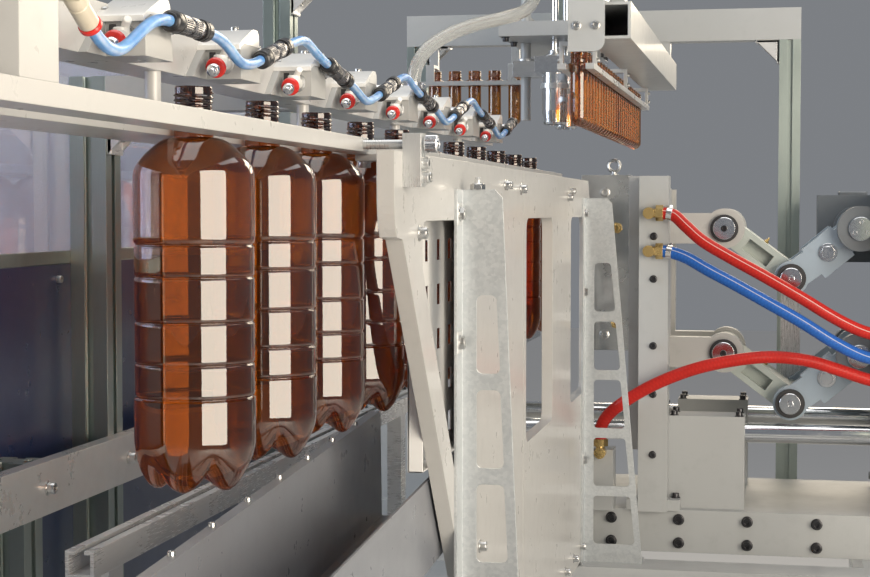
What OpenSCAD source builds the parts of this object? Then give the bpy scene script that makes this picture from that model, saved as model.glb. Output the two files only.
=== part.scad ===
// Linear stretch blow moulding machine: bottles hang by their neck rings on the
// discharge rails, a manifold beam feeds a row of valve blocks above them, and a
// twin toggle clamp with two mould halves stands at the far end of the row.
// The row runs along Y at X = 0, the floor is Z = 0.

/* [Line] */
// Height of the neck rails' top face above the floor
neck_z = 1163; // [1100:1:1250]
// Distance from the machine's middle to the first bottle
first_bottle = 920; // [900:5:940]
// Distance between two bottles in the row
pitch = 154; // [140:1:160]
// Bottles hanging in the row
bottle_count = 11; // [4:1:11]

/* [Bottle] */
// Largest body diameter
body_d = 82; // [70:1:84]
// Diameter of the grooved waist
waist_d = 80; // [68:1:82]
// Height from the support ring down to the feet
bottle_h = 250; // [240:1:254]
// Outer diameter of the neck finish
finish_d = 26; // [24:0.5:27]
// Diameter of the support ring
ring_d = 33; // [31:0.5:36]
// Height of the finish above the support ring's lower face
finish_h = 20.7; // [18:0.1:24]
// Wall of the bottle and of the preform
pet_t = 1.6; // [1.2:0.1:2]

/* [Neck rails] */
// Thickness of the neck rails
rail_t = 12; // [8:0.5:16]
// Free width between the two rails
rail_gap = 29; // [28:0.5:30]
// Outer edge of the near rail, from the row
near_rail_x = 40; // [34:1:44]
// Outer edge of the far rail, from the row
far_rail_x = 75; // [70:1:90]

/* [Manifold beam] */
// Height of the beam's lower face above the rails
beam_gap = 40.6; // [36:0.2:50]
// Height of the beam's section
beam_h = 37; // [34:1:44]
// Depth of the beam's section
beam_d = 40; // [30:1:60]
// Face of the beam towards the operator, from the row
beam_x = 60; // [56:1:64]
// Wall of the beam's tube
beam_wall = 4; // [3:0.5:6]

/* [Valve blocks] */
// Distance between two valve blocks
block_pitch = 202.5; // [190:0.5:210]
// Number of valve blocks
block_count = 8; // [3:1:8]
// How far a block stands out of the beam
block_w = 34; // [30:1:36]
// Height of a block at its back
block_h = 39; // [36:1:44]
// Diameter of the air tube
tube_d = 8; // [6:0.5:8]
// Length of a tube coupling
coupling_l = 72; // [60:1:80]
// Diameter of a tube coupling
coupling_d = 14; // [12:0.5:16]

/* [Side wall] */
// Thickness of the wall plates
wall_t = 15; // [10:1:18]
// Outer face of the wall plates, from the row
wall_x = 76; // [72:1:84]
// Thickness of sheet parts
sheet_t = 3; // [2:0.5:4]
// Upper edge of the windows below the rails' top face
window_drop = 71; // [60:1:90]
// Height of the windows
window_h = 282; // [240:2:300]
// Corner radius of the windows
window_r = 16; // [8:1:24]

/* [Base] */
// Length of the machine
base_l = 2680; // [2660:10:2800]
// Width of the machine
base_w = 1200; // [1190:10:1300]
// Height of the base frame's top face
base_z = 534; // [500:2:560]
// Side of the square base tubes
tube_w = 80; // [60:2:90]
// Wall of the base tubes
tube_t = 5; // [4:0.5:8]
// Side of the posts and gantry arms
post_w = 40; // [36:1:50]
// Height of the levelling feet
foot_h = 110; // [90:1:130]

/* [Mould clamp] */
// Distance between the pivots of each toggle link
link_l = 140; // [136:0.5:142]
// Angle of the toggle links when the mould is open
open_angle = 36.87; // [36:0.01:37.5]
// Height of the upper toggle pivots below the rails' top face
pivot_drop = 91; // [85:1:100]
// Distance between the upper and lower toggles
toggle_gap = 212; // [205:1:220]
// Diameter of the toggle pins
pin_d = 30; // [26:0.5:32]
// Length of a mould half along the row
mould_l = 308; // [300:2:316]
// Thickness of a mould half
mould_t = 80; // [72:1:84]
// Thickness of the platen
platen_t = 30; // [24:1:36]
// Diameter of the guide bars
bar_d = 32; // [28:1:36]

/* [Blow head] */
// Height of the head plate above the rails' top face
head_rise = 237; // [230:1:250]
// Thickness of the head plate
head_t = 25; // [18:1:30]
// Outer diameter of a blow nozzle
nozzle_d = 44; // [36:1:50]
// Diameter of a stretch rod
rod_d = 12; // [10:0.5:14]

/* [Preforms] */
// Distance between two preforms
preform_pitch = 42; // [38:1:50]
// Body diameter of a preform
preform_d = 25; // [22:0.5:26]
// Length of a preform below its support ring
preform_h = 84; // [70:1:95]
// Preforms on the long rail
preform_count = 24; // [6:1:24]
// Preforms on the cross rail
cross_preform_count = 5; // [2:1:5]

/* [Hidden] */
$fn = 48;

// Clearance between a running pin and its bore, on the radius
run_c = 0.05;
// Clearance between pieces that only stand beside each other
side_c = 0.3;

rail_z = neck_z - rail_t;
beam_z = neck_z + beam_gap;
wall_top = rail_z - side_c;
bed_h = 71;
bed_z = base_z + bed_h;
arm_z = neck_z + head_rise + head_t;
arm_h = 60;

// Places along the row, from the first bottle
base_front = first_bottle - base_l / 2;
base_rear = first_bottle + base_l / 2;
// The mould's middle stands a fixed way in from the rear end, and the rails end before it
clamp_y = base_rear - 335;
row_end = clamp_y - 205;
cross_y = [base_front + tube_w / 2, 200, 390, 593, 1270, row_end - 86, base_rear - tube_w / 2];
post_y = [cross_y[0], cross_y[3], cross_y[4], cross_y[6]];
short_post_y = cross_y[2];
wall_y0 = 272;
wall_y1 = 985;
wall_y2 = 988;
wall_y3 = row_end + 15;
beam_end = row_end - 160;
line_start = base_front + 10;
post_x = 320;
side_post_x = 560;
portal_post_x = 400;

module span(x, y, z) {
  translate([x[0], y[0], z[0]]) cube([x[1] - x[0], y[1] - y[0], z[1] - z[0]]);
}
module in_line() { translate([0, -first_bottle, 0]) children(); }
function arc(cx, cy, r, a0, a1, n = 6) =
  [for (i = [0:n]) let (a = a0 + (a1 - a0) * i / n) [cx + r * cos(a), cy + r * sin(a)]];
function flip(points) = [for (i = [len(points) - 1:-1:0]) points[i]];

// A square tube along X, Y or Z, open at both ends
module tube_y(x, y, z, w, h, t) {
  difference() {
    span([x - w / 2, x + w / 2], y, [z, z + h]);
    span([x - w / 2 + t, x + w / 2 - t], [y[0] - 1, y[1] + 1], [z + t, z + h - t]);
  }
}
module tube_x(x, y, z, w, h, t) {
  difference() {
    span(x, [y - w / 2, y + w / 2], [z, z + h]);
    span([x[0] - 1, x[1] + 1], [y - w / 2 + t, y + w / 2 - t], [z + t, z + h - t]);
  }
}
module tube_z(x, y, z, w, t) {
  difference() {
    span([x - w / 2, x + w / 2], [y - w / 2, y + w / 2], z);
    span([x - w / 2 + t, x + w / 2 - t], [y - w / 2 + t, y + w / 2 - t], [z[0] - 1, z[1] + 1]);
  }
}
// A plate cut to an outline drawn in Y and Z, standing from x towards +X
module plate_yz(x, t) {
  translate([x, 0, 0]) rotate([90, 0, 90]) linear_extrude(t) children();
}
// A plate cut to an outline drawn in X and Z, from y towards +Y
module plate_xz(y, t) {
  translate([0, y + t, 0]) rotate([90, 0, 0]) linear_extrude(t) children();
}
module rounded_window(y0, y1, z0, z1, r) {
  polygon(concat(arc(y1 - r, z1 - r, r, 0, 90), arc(y0 + r, z1 - r, r, 90, 180),
    arc(y0 + r, z0 + r, r, 180, 270), arc(y1 - r, z0 + r, r, 270, 360)));
}

// Base frame
leg_x = base_w / 2 - tube_w / 2;
leg_z = base_z - tube_w;
module side_rails() {
  color("lightgray") for (s = [-1, 1]) {
    tube_y(s * leg_x, [-base_l / 2, base_l / 2], leg_z, tube_w, tube_w, tube_t);
    // Welded end plates
    for (y = [-base_l / 2, base_l / 2 - tube_t])
        span([s * leg_x - tube_w / 2 + tube_t, s * leg_x + tube_w / 2 - tube_t],
      [y, y + tube_t], [leg_z + tube_t, leg_z + tube_w - tube_t]);
  }
}
module cross_rails() {
  color("lightgray") in_line() for (y = cross_y)
    tube_x([-leg_x + tube_w / 2, leg_x - tube_w / 2], y, leg_z, tube_w, tube_w, tube_t);
}
stud_d = 20;
leg_y = [cross_y[0], cross_y[2], cross_y[4], cross_y[6]];
module legs() {
  color("lightgray") in_line() for (s = [-1, 1], y = leg_y) difference() {
    span([s * leg_x - tube_w / 2, s * leg_x + tube_w / 2], [y - tube_w / 2, y + tube_w / 2],
        [foot_h, leg_z]);
    span([s * leg_x - tube_w / 2 + tube_t, s * leg_x + tube_w / 2 - tube_t],
      [y - tube_w / 2 + tube_t, y + tube_w / 2 - tube_t], [foot_h + 12, leg_z + 1]);
    translate([s * leg_x, y, foot_h - 1]) cylinder(d = stud_d + 2 * side_c, h = 14);
  }
}
foot_d = 88;
module levelling_feet() {
  color("dimgray") in_line() for (s = [-1, 1], y = leg_y) translate([s * leg_x, y, 0]) {
    rotate_extrude() polygon([[0, 0], [foot_d / 2, 0], [foot_d / 2, 10], [foot_d / 2 - 6, 16], [16, 26],
      [14, 40], [stud_d / 2, 42], [stud_d / 2, foot_h + 40], [0, foot_h + 40]]);
    translate([0, 0, foot_h - 16]) cylinder(d = 34, h = 16, $fn = 6);
  }
}

// Side wall on its sill
gusset_y = [560, cross_y[5]];
sill_w = 80;
sill_h = 60;
sill_x = wall_x - wall_t - sill_w / 2;
module wall_sill() {
  color("lightgray") in_line() tube_y(sill_x, [gusset_y[0], wall_y3 + 5], base_z, sill_w, sill_h, tube_t);
}
plate_z = base_z + 6;
window_z = neck_z - window_drop;
// The front plate's leading edge: upright at the top, then leaning back towards its foot
module front_plate_outline() {
  slope = 269 / 340;
  bend_z = neck_z - 86.6;
  foot_y = wall_y0 + 32 + (bend_z - plate_z) * slope;
  polygon(concat([[foot_y, plate_z], [wall_y0 + 32, bend_z]],
    arc(wall_y0 + 60, bend_z + 36, 60, 214, 180, 5),
    [[wall_y0, wall_top], [wall_y1, wall_top], [wall_y1, plate_z]]));
}
module front_window_outline() {
  low = window_z - window_h;
  slope = 157 / 212;
  knee_z = window_z - 42;
  y0 = wall_y0 + 112;
  y1 = wall_y0 + 344;
  polygon(concat(arc(y1 - window_r, window_z - window_r, window_r, 0, 90),
    arc(y0 + window_r, window_z - window_r, window_r, 90, 180),
    [[y0, knee_z], [y0 + (knee_z - low - 30) * slope, low + 30]],
    arc(y0 + (knee_z - low - 30) * slope + 34, low + 26, 26, 200, 270),
    arc(y1 - window_r, low + window_r, window_r, 270, 360)));
}
module wall_plate_front() {
  color("gainsboro") in_line() difference() {
    plate_yz(wall_x - wall_t, wall_t) difference() {
      front_plate_outline();
      front_window_outline();
    }
    // Bolt holes of the rail clamp and the gusset
    for (z = [0, 12]) translate([wall_x - wall_t - 1, clamp_block_y, clamp_block_z + z])
      rotate([0, 90, 0]) cylinder(d = 6, h = wall_t + 2);
  }
}
rear_windows = [[1009, 1257], [wall_y3 - 271, wall_y3 - 35]];
module wall_plate_rear() {
  color("gainsboro") in_line() plate_yz(wall_x - wall_t, wall_t) difference() {
    polygon(concat([[wall_y2, plate_z], [wall_y2, wall_top]],
      [[wall_y3 - 40, wall_top], [wall_y3, wall_top - 60], [wall_y3, plate_z]]));
    for (w = rear_windows) rounded_window(w[0], w[1], window_z - window_h, window_z, window_r);
  }
}
// Slotted sheet with turned edges, screwed to the inside of the front plate
slot_y = 18;
slot_z = 21;
sheet_x = wall_x - wall_t - 16;
sheet_y0 = 455;
sheet_y1 = 880;
slot_z0 = window_z - 30;
sheet_z = slot_z0 - 206;
module slotted_sheet() {
  color("whitesmoke") in_line() difference() {
    span([sheet_x, wall_x - wall_t], [sheet_y0, sheet_y1], [sheet_z, window_z + 18]);
    span([sheet_x + sheet_t, wall_x], [sheet_y0 + sheet_t, sheet_y1 - sheet_t],
      [sheet_z + sheet_t, window_z + 18 - sheet_t]);
    for (i = [0:6], k = [0:4])
      translate([sheet_x - 1, 479 + 58 * i - slot_y / 2, slot_z0 - 45 * k - slot_z / 2])
        cube([sheet_t + 2, slot_y, slot_z]);
  }
}
// Ladder gusset: a web across the row with a flange turned against the wall
gusset_z = neck_z - 41;
module ladder_gusset(y, top_w, foot_w, y_foot) {
  color("silver") in_line() difference() {
    union() {
      plate_xz(y, sheet_t) difference() {
        polygon([[wall_x, gusset_z], [wall_x + top_w - 8, gusset_z], [wall_x + top_w, gusset_z - 8],
          [wall_x + foot_w, base_z], [wall_x, base_z]]);
        for (i = [0:4]) ladder_hole(top_w, foot_w, gusset_z - 104 - 94 * i, gusset_z - 182 - 94 * i);
      }
      span([wall_x, wall_x + sheet_t], [y - 28, y + sheet_t], [base_z, gusset_z]);
      span([wall_x, wall_x + foot_w], [y, y_foot], [base_z, base_z + sheet_t]);
    }
    for (z = [gusset_z - 24, gusset_z - 150, gusset_z - 420])
      translate([wall_x - 1, y - 15, z]) rotate([0, 90, 0]) cylinder(d = 7, h = sheet_t + 2);
  }
}
function gusset_x(top_w, foot_w, z) =
  wall_x + top_w + (foot_w - top_w) * (gusset_z - z) / (gusset_z - base_z);
module ladder_hole(top_w, foot_w, z1, z0) {
  r = 6;
  x0 = wall_x + 17;
  xa = gusset_x(top_w, foot_w, z1) - 10;
  xb = gusset_x(top_w, foot_w, z0) - 10;
  polygon(concat(arc(xa - r, z1 - r, r, 0, 90, 4), arc(x0 + r, z1 - r, r, 90, 180, 4),
    arc(x0 + r, z0 + r, r, 180, 270, 4), arc(xb - r, z0 + r, r, 270, 360, 4)));
}
module gusset_front() { ladder_gusset(gusset_y[0], 43, 68, cross_y[3] + tube_w / 2); }
module gusset_rear() { ladder_gusset(gusset_y[1], 45, 96, cross_y[5] + tube_w / 2); }

// Discharge chute: an inclined sheet channel that falls towards the operator's end
chute_fall = 3.05;
chute_t = 2.5;
chute_x = [-40, 58];
chute_y = [base_front + 24, 700];
chute_far_z = neck_z - 316;
chute_near_z = neck_z - 346;
chute_depth = 118;
module discharge_chute() {
  color("darkgray") in_line() {
    translate([0, 0, chute_far_z]) rotate([chute_fall, 0, 0]) {
      span([chute_x[0], chute_x[0] + chute_t], chute_y, [-chute_depth, 0]);
      span([chute_x[0] - 8, chute_x[0] + chute_t], chute_y, [-chute_t, 0]);
      span(chute_x, chute_y, [-chute_depth, -chute_depth + chute_t]);
      span([chute_x[1] - chute_t, chute_x[1]], chute_y, [-chute_depth, chute_near_z - chute_far_z]);
    }
    for (y = [cross_y[0], cross_y[1], cross_y[2]]) chute_leg(y);
  }
}
module chute_leg(y) {
  floor_z = chute_far_z - chute_depth / cos(chute_fall) + y * tan(chute_fall);
  span([chute_x[0] + 6, chute_x[1] - 6], [y - 2, y + 2], [base_z, floor_z + 0.6]);
  span([chute_x[0] + 6, chute_x[1] - 6], [y - 20, y + 20], [base_z, base_z + 4]);
}

// Neck rails
narrow_rail_x = near_rail_x - 10;
near_rail_step = 334;
module near_rail() {
  color("whitesmoke") in_line() difference() {
    translate([0, 0, rail_z]) linear_extrude(rail_t) polygon([[rail_gap / 2, line_start],
      [near_rail_x, line_start], [near_rail_x, near_rail_step - 4], [near_rail_x - 4, near_rail_step],
      [narrow_rail_x, near_rail_step], [narrow_rail_x, row_end],
      [rail_gap / 2 + 4, row_end], [rail_gap / 2, row_end - 12]]);
    translate([near_rail_x - 14, clamp_block_y, rail_z + rail_t / 2]) rotate([0, 90, 0])
      cylinder(d = clamp_rod_d + 2 * run_c, h = 20);
  }
}
module far_rail() {
  color("whitesmoke") in_line() {
    translate([0, 0, rail_z]) linear_extrude(rail_t) polygon([[-rail_gap / 2, line_start],
      [-far_rail_x, line_start], [-far_rail_x, row_end],
      [-rail_gap / 2 - 4, row_end], [-rail_gap / 2, row_end - 12]]);
    for (y = [line_start + 110, 100, 500, 900, 1300]) translate([-beam_x - 7, y, neck_z - 1])
      cylinder(d = 12, h = beam_gap + 1);
  }
}
// Hanger from the beam to the near rail, and the angles that carry it from the wall
hanger_y = [line_start + 59, line_start + 103];
bracket_y = [2.5 * pitch, 5.5 * pitch, 9.5 * pitch];
module rail_brackets() {
  color("gainsboro") in_line() {
    difference() {
      union() {
        span([near_rail_x - 12, near_rail_x], hanger_y, [neck_z, beam_z + beam_h + 12]);
        span([-beam_x - beam_d, near_rail_x], hanger_y, [beam_z + beam_h, beam_z + beam_h + 12]);
      }
      for (x = [-beam_x - beam_d + 10, -beam_x - 10])
          translate([x, (hanger_y[0] + hanger_y[1]) / 2, beam_z])
        cylinder(d = 9, h = beam_h + 20);
    }
    for (y = bracket_y) {
      span([18, wall_x - wall_t], [y - 14, y + 14], [rail_z - 6, rail_z]);
      span([wall_x - wall_t - 6, wall_x - wall_t], [y - 14, y + 14], [rail_z - 38, rail_z]);
    }
  }
}
clamp_rod_d = 8;
clamp_block_y = 312;
clamp_block_z = rail_z - 22;
clamp_block_w = 16;
knob_gap = 1;
module rail_clamp() {
  rod_z = rail_z + rail_t / 2;
  rod_end = wall_x + clamp_block_w - 6;
  color("silver") in_line() {
    difference() {
      span([wall_x, wall_x + clamp_block_w], [clamp_block_y - 10, clamp_block_y + 10],
        [clamp_block_z - 8, rod_z + 9]);
      translate([rod_end, clamp_block_y, rod_z]) rotate([0, 90, 0]) cylinder(d = 5 + 2 * run_c, h = 30);
    }
    translate([near_rail_x - 12, clamp_block_y, rod_z]) rotate([0, 90, 0])
      cylinder(d = clamp_rod_d, h = wall_x - near_rail_x + 13);
    for (z = [0, 12]) translate([wall_x + clamp_block_w - 1, clamp_block_y, clamp_block_z + z])
      rotate([0, 90, 0]) cylinder(d = 10, h = 6);
  }
}
module clamp_knob() {
  rod_z = rail_z + rail_t / 2;
  knob_x = wall_x + clamp_block_w + knob_gap;
  color("silver") in_line() translate([knob_x, clamp_block_y, rod_z]) rotate([0, 90, 0]) {
    translate([0, 0, -knob_gap - 5]) cylinder(d = 5, h = knob_gap + 6);
    rotate_extrude() polygon([[0, 0], [4, 0], [4.6, 2], [7, 3.5], [7.5, 5], [7.5, 10], [6.4, 11.6],
        [0, 12]]);
  }
}

// Manifold beam, valve blocks and air line
module upper_beam() {
  color("gainsboro") in_line() {
    difference() {
      tube_y(-beam_x - beam_d / 2, [line_start, beam_end], beam_z, beam_d, beam_h, beam_wall);
      for (i = [0:block_count - 1]) translate([-beam_x - beam_wall - 1, block_y(i) + coupling_dy,
          coupling_z])
        rotate([0, 90, 0]) cylinder(d = 6, h = beam_wall + 2);
    }
    for (y = [line_start, beam_end - 3])
      span([-beam_x - beam_d + beam_wall, -beam_x - beam_wall], [y, y + 3],
        [beam_z + beam_wall, beam_z + beam_h - beam_wall]);
  }
}
function block_y(i) = -12 + block_pitch * i;
block_face = block_w - beam_x;
coupling_dy = 50;
coupling_z = beam_z + 25;
coupling_x = block_face + coupling_d / 2 + 2;
// One wedge-shaped block: sloping front and cap, with a pocket that holds the fitting
module valve_block(i) {
  pocket = -8;
  translate([0, block_y(i), beam_z]) difference() {
    plate_yz(-beam_x, block_w) polygon(concat([[-40, 0]], [[-9, block_h - 13.5], [-6, block_h - 12]],
      [[20, block_h - 1], [24, block_h], [33, block_h], [36, block_h - 3], [44, 0]]));
    span([-beam_x + 6, block_face + 1], [-50, pocket], [-1, block_h - 15]);
    // Lightening slot beside the recess
    span([-beam_x + 9, -beam_x + 13], [pocket - 1, pocket + 5], [6, block_h - 18]);
    translate([-beam_x + block_w / 2 + 3, pocket - 1, 12]) rotate([-90, 0, 0]) cylinder(d = 17, h = 7);
    // Bevel along the outer upper edge
    translate([block_face, -60, block_h - 9]) rotate([0, -45, 0]) cube([20, 120, 20]);
    translate([-beam_x + block_w / 2, 28, -1]) cylinder(d = 6.6, h = block_h + 2);
  }
}
module valve_blocks() { color("whitesmoke") in_line() for (i = [0:block_count - 1]) valve_block(i); }
fit_x = -beam_x + block_w / 2 + 3;
fit_tilt = 112;
module at_fitting(i) {
  translate([fit_x, block_y(i) - 8 + 5.7, beam_z + 12]) children();
}
module block_fitting(i) {
  at_fitting(i) {
    rotate([90, 0, 0]) cylinder(d = 11, h = 13);
    translate([0, -13, -5]) cylinder(d = 11, h = 11);
    translate([0, -13, 0]) rotate([fit_tilt, 0, 0]) {
      cylinder(d = 12, h = 10);
      cylinder(d = 8, h = 22);
      translate([0, 0, 15.3]) cylinder(d = 10, h = 9);
    }
    translate([0, -9, 4]) rotate([60, 0, 35]) cylinder(d = 6, h = 14);
  }
}
module release_ring() {
  difference() {
    cylinder(d = 16, h = 4.7);
    translate([0, 0, -1]) cylinder(d = 8 + 2 * side_c, h = 7);
  }
}
barb_y = -135;
barb_z = beam_z + 8.6;
barb_dir = 118;
module barb_place() { translate([coupling_x, barb_y, barb_z]) rotate([-60, 0, 0]) children(); }
module block_fittings() {
  color("beige") in_line() {
    for (i = [0:block_count - 1]) block_fitting(i);
    // Tail piece that feeds the chain of tubes from the beam's end
    translate([coupling_x, barb_y, barb_z]) rotate([60, 0, 0]) difference() {
      cylinder(d = 13, h = 34);
      translate([0, 0, -1]) cylinder(d = tube_d + 2 * run_c, h = 12);
    }
    translate([coupling_x, barb_y - 34 * sin(60), barb_z + 34 * cos(60) - 7]) cylinder(d = 14, h = 14);
    translate([-beam_x, barb_y - 34 * sin(60), barb_z + 34 * cos(60)]) rotate([0, 90, 0])
      cylinder(d = 10, h = coupling_x + beam_x);
  }
}
module release_rings() {
  color("red") in_line() {
    for (i = [0:block_count - 1]) at_fitting(i) translate([0, -13, 0]) rotate([fit_tilt, 0, 0])
      translate([0, 0, 10.3]) release_ring();
    translate([coupling_x, barb_y, barb_z]) rotate([60, 0, 0]) translate([0, 0, -4.3]) difference() {
      cylinder(d = 14.6, h = 4);
      translate([0, 0, -1]) cylinder(d = tube_d + 2 * side_c, h = 7);
    }
  }
}
coupling_tilts = [0, 14, -8, 14, -8, 14, -8, 14];
module at_coupling(i) {
  translate([coupling_x, block_y(i) + coupling_dy, coupling_z])
    rotate([coupling_tilts[i] - 90, 0, 0]) children();
}
module coupling_bodies() {
  color("silver") in_line() for (i = [0:block_count - 1]) {
    at_coupling(i) difference() {
      translate([0, 0, -coupling_l / 2 + 14]) rotate_extrude() polygon([[0, 0], [coupling_d / 2, 0],
        [coupling_d / 2, 16], [coupling_d / 2 - 1.2, 17], [coupling_d / 2 - 1.2, 24], [coupling_d / 2, 25],
        [coupling_d / 2, coupling_l - 28], [0, coupling_l - 28]]);
      translate([0, 0, -coupling_l]) cylinder(d = tube_d - 2, h = 2 * coupling_l);
    }
    translate([-beam_x, block_y(i) + coupling_dy, coupling_z]) rotate([0, 90, 0]) {
      cylinder(d = 8, h = coupling_x + beam_x - coupling_d / 2 + 2);
      cylinder(d = 15, h = 5, $fn = 6);
    }
  }
}
module coupling_collars() {
  color("black") in_line() for (i = [0:block_count - 1]) at_coupling(i)
    for (z = [-coupling_l / 2, coupling_l / 2 - 14]) translate([0, 0, z]) difference() {
      cylinder(d = coupling_d + 1.5, h = 14);
      translate([0, 0, -1]) cylinder(d = tube_d + 2 * run_c, h = 16);
    }
}
// The short air tubes hang between their couplings on a smooth curve
function bezier(a, b, c, d, t) =
  pow(1 - t, 3) * a + 3 * pow(1 - t, 2) * t * b + 3 * (1 - t) * t * t * c + t * t * t * d;
function along(tilt) = [0, cos(tilt), sin(tilt)];
function coupling_end(i, side) = [coupling_x, block_y(i) + coupling_dy, coupling_z]
  + side * (coupling_l / 2 - 6) * along(coupling_tilts[i]);
link_reach = 76;
grip = 7;
// A tube that is straight inside both sockets and bends freely between them
function tube_points(a, u, d, v, reach) = let (a1 = a + grip * u, d1 = d - grip * v)
  concat([a], [for (k = [0:7]) bezier(a1, a1 + reach * u, d1 - reach * v, d1, k / 7)], [d]);
function link_points(i) = tube_points(coupling_end(i, 1), along(coupling_tilts[i]),
  coupling_end(i + 1, -1), along(coupling_tilts[i + 1]), link_reach);
function feed_points() = let (u = [0, cos(30), -sin(30)])
  tube_points([coupling_x, barb_y, barb_z] - 3 * u, u, coupling_end(0, -1), along(0), 62);
module tube_links() {
  color("lightskyblue") in_line() {
    sweep(feed_points(), tube_d, 8, [1, 0, 0]);
    for (i = [0:block_count - 2]) sweep(link_points(i), tube_d, 8, [1, 0, 0]);
  }
}
function unit(v) = v / norm(v);
function heading(p, i) = unit(i == 0 ? p[1] - p[0] : i == len(p)
    - 1 ? p[i] - p[i - 1] : p[i + 1] - p[i - 1]);
// A round tube along points, as rings of n corners; across points out of the route's plane
module sweep(p, d, n, across) {
  rings = [for (i = [0:len(p) - 1]) let (t = heading(p, i), u = unit(cross(t, across)), v = cross(t, u))
    [for (k = [0:n - 1]) p[i] + d / 2 * (cos(360 * k / n) * u + sin(360 * k / n) * v)]];
  m = len(p);
  polyhedron(points = [for (r = rings) each r],
    faces = concat([[for (k = [n - 1:-1:0]) k]], [[for (k = [0:n - 1]) (m - 1) * n + k]],
      [for (i = [0:m - 2], k = [0:n - 1]) let (a = i * n + k, b = i * n + (k + 1) % n)
          [a, b, b + n, a + n]]));
}

// Posts and arms that carry the beam, the rails and the blow head
module gantry_posts() {
  color("darkseagreen") in_line() {
    for (y = [post_y[2], post_y[3]]) tube_z(-post_x, y, [base_z, arm_z], post_w, 4);
    for (y = [post_y[0], post_y[1]]) tube_z(-post_x, y, [base_z, beam_z + beam_h], post_w, 4);
    tube_z(-post_x, short_post_y, [base_z, rear_rail_z], post_w, 4);
    tube_z(side_post_x, post_y[2], [base_z, arm_z], post_w, 4);
    tube_z(portal_post_x, post_y[3], [base_z, arm_z], post_w, 4);
  }
}
module gantry_arms() {
  color("lightgray") in_line() {
    tube_x([-post_x - post_w / 2, side_post_x + post_w / 2], post_y[2], arm_z, post_w, arm_h, 4);
    tube_x([-post_x - post_w / 2, portal_post_x + post_w / 2], post_y[3], arm_z, post_w, arm_h, 4);
    for (y = [post_y[0], post_y[1], post_y[2]])
      tube_x([-post_x + post_w / 2, -beam_x - beam_d], y, beam_z, post_w, beam_h, 4);
  }
}
rear_rail_z = neck_z - 297;
rear_rail_h = 50;
module rear_rail() {
  color("silver") in_line()
    span([-post_x + post_w / 2, -post_x + post_w / 2 + 15], [line_start, post_y[2] + 20],
        [rear_rail_z - rear_rail_h, rear_rail_z]);
}
profile_x = -150;
profile_w = 24;
profile_z = neck_z - 329;
module guide_profile() {
  color("silver") in_line() {
    translate([profile_x, 0, profile_z]) rotate([-90, 0, 0]) translate([0, 0, 150]) linear_extrude(1340)
      polygon([[-12, 0], [-4, 0], [-4, 3], [-9, 3], [-9, 19], [9, 19], [9, 3], [4, 3], [4, 0], [12, 0],
          [12, 22], [-12, 22]]);
    for (y = [cross_y[1], cross_y[3], cross_y[4]])
      span([profile_x - 10, profile_x + 10], [y - 15, y + 15], [base_z, profile_z - 22]);
  }
}
module guard_panel() {
  color("midnightblue") in_line()
    span([-post_x - post_w / 2 - 3, -post_x - post_w / 2], [line_start + 10, post_y[2] + 20],
        [base_z + 10, neck_z - 117]);
}

// Overhead preform line
preform_z = neck_z + 140;
preform_x = 110;
preform_gap = 27;
line_y = [1225, post_y[3] - 20];
rail_bar_w = 12;
rail_bar_h = 8;
overhead_x = [125, 185];
overhead_z = preform_z + 32;
hanger_r = 14;
module overhead_beam() {
  color("gray") in_line() {
    tube_y((overhead_x[0] + overhead_x[1]) / 2, [line_y[0] + 6, line_y[1] + 40], overhead_z, 60, 50, 4);
    for (y = [post_y[2], post_y[3]])
      span([overhead_x[0] + 10, overhead_x[1] - 10], [y - 18, y + 18], [overhead_z + 50, arm_z]);
    plate_xz(line_y[0], 6) polygon(concat([[preform_x - 10, arm_z + 50], [preform_x - 10, preform_z + 15]],
      arc(150 - hanger_r, preform_z + 15 + hanger_r, hanger_r, 270, 360), [[150, arm_z + 50]]));
    span([preform_x - 10, 150], [line_y[0], post_y[2] - post_w / 2], [arm_z, arm_z + 20]);
  }
}
module rail_pair(l) {
  for (s = [-1, 1]) span([s * (preform_gap / 2 + rail_bar_w / 2) - rail_bar_w / 2,
    s * (preform_gap / 2 + rail_bar_w / 2) + rail_bar_w / 2], [0, l], [-rail_bar_h, 0]);
}
module rail_strap() {
  w = preform_gap / 2 + rail_bar_w;
  plate_xz(-8, 16) polygon([[-w, 0], [-w, 32], [w, 32], [w, 0], [w - 5, 0], [w - 5, 26], [-w + 5, 26],
      [-w + 5, 0]]);
}
cross_rail_y = post_y[3] - 60;
cross_rail_z = neck_z + 188;
module preform_rails() {
  color("darkgray") in_line() {
    translate([preform_x, line_y[0] + 8, preform_z]) {
      rail_pair(line_y[1] - line_y[0]);
      for (y = [30, 500, 940]) translate([0, y, 0]) rail_strap();
    }
    translate([-300, cross_rail_y, cross_rail_z]) rotate([0, 0, -90]) {
      rail_pair(205);
      for (y = [20, 180]) translate([0, y, 0]) {
        rail_strap();
        span([-25.5, -15], [-8, 8], [32, arm_z - cross_rail_z]);
        span([-60.5, -15], [-8, 8], [arm_z - cross_rail_z - 8, arm_z - cross_rail_z]);
      }
    }
  }
}
module preform() {
  difference() {
    rotate_extrude() polygon(concat([[0, -preform_h]],
        flip(arc(0, -preform_h + preform_d / 2, preform_d / 2, 0, -80, 5)),
      [[preform_d / 2, -8], [preform_d / 2, 0], [ring_d / 2, 0], [ring_d / 2, 2], [finish_d / 2 - 1, 3],
      [finish_d / 2 - 1, finish_h], [0, finish_h]]));
    rotate_extrude() polygon(concat([[0, -preform_h + 4]],
      flip(arc(0, -preform_h + 4 + preform_d / 2 - 4, preform_d / 2 - 4, 0, -80, 4)),
      [[preform_d / 2 - 4, -8], [finish_d / 2 - 3, 2], [finish_d / 2 - 3, finish_h + 1],
          [0, finish_h + 1]]));
  }
}
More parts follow.
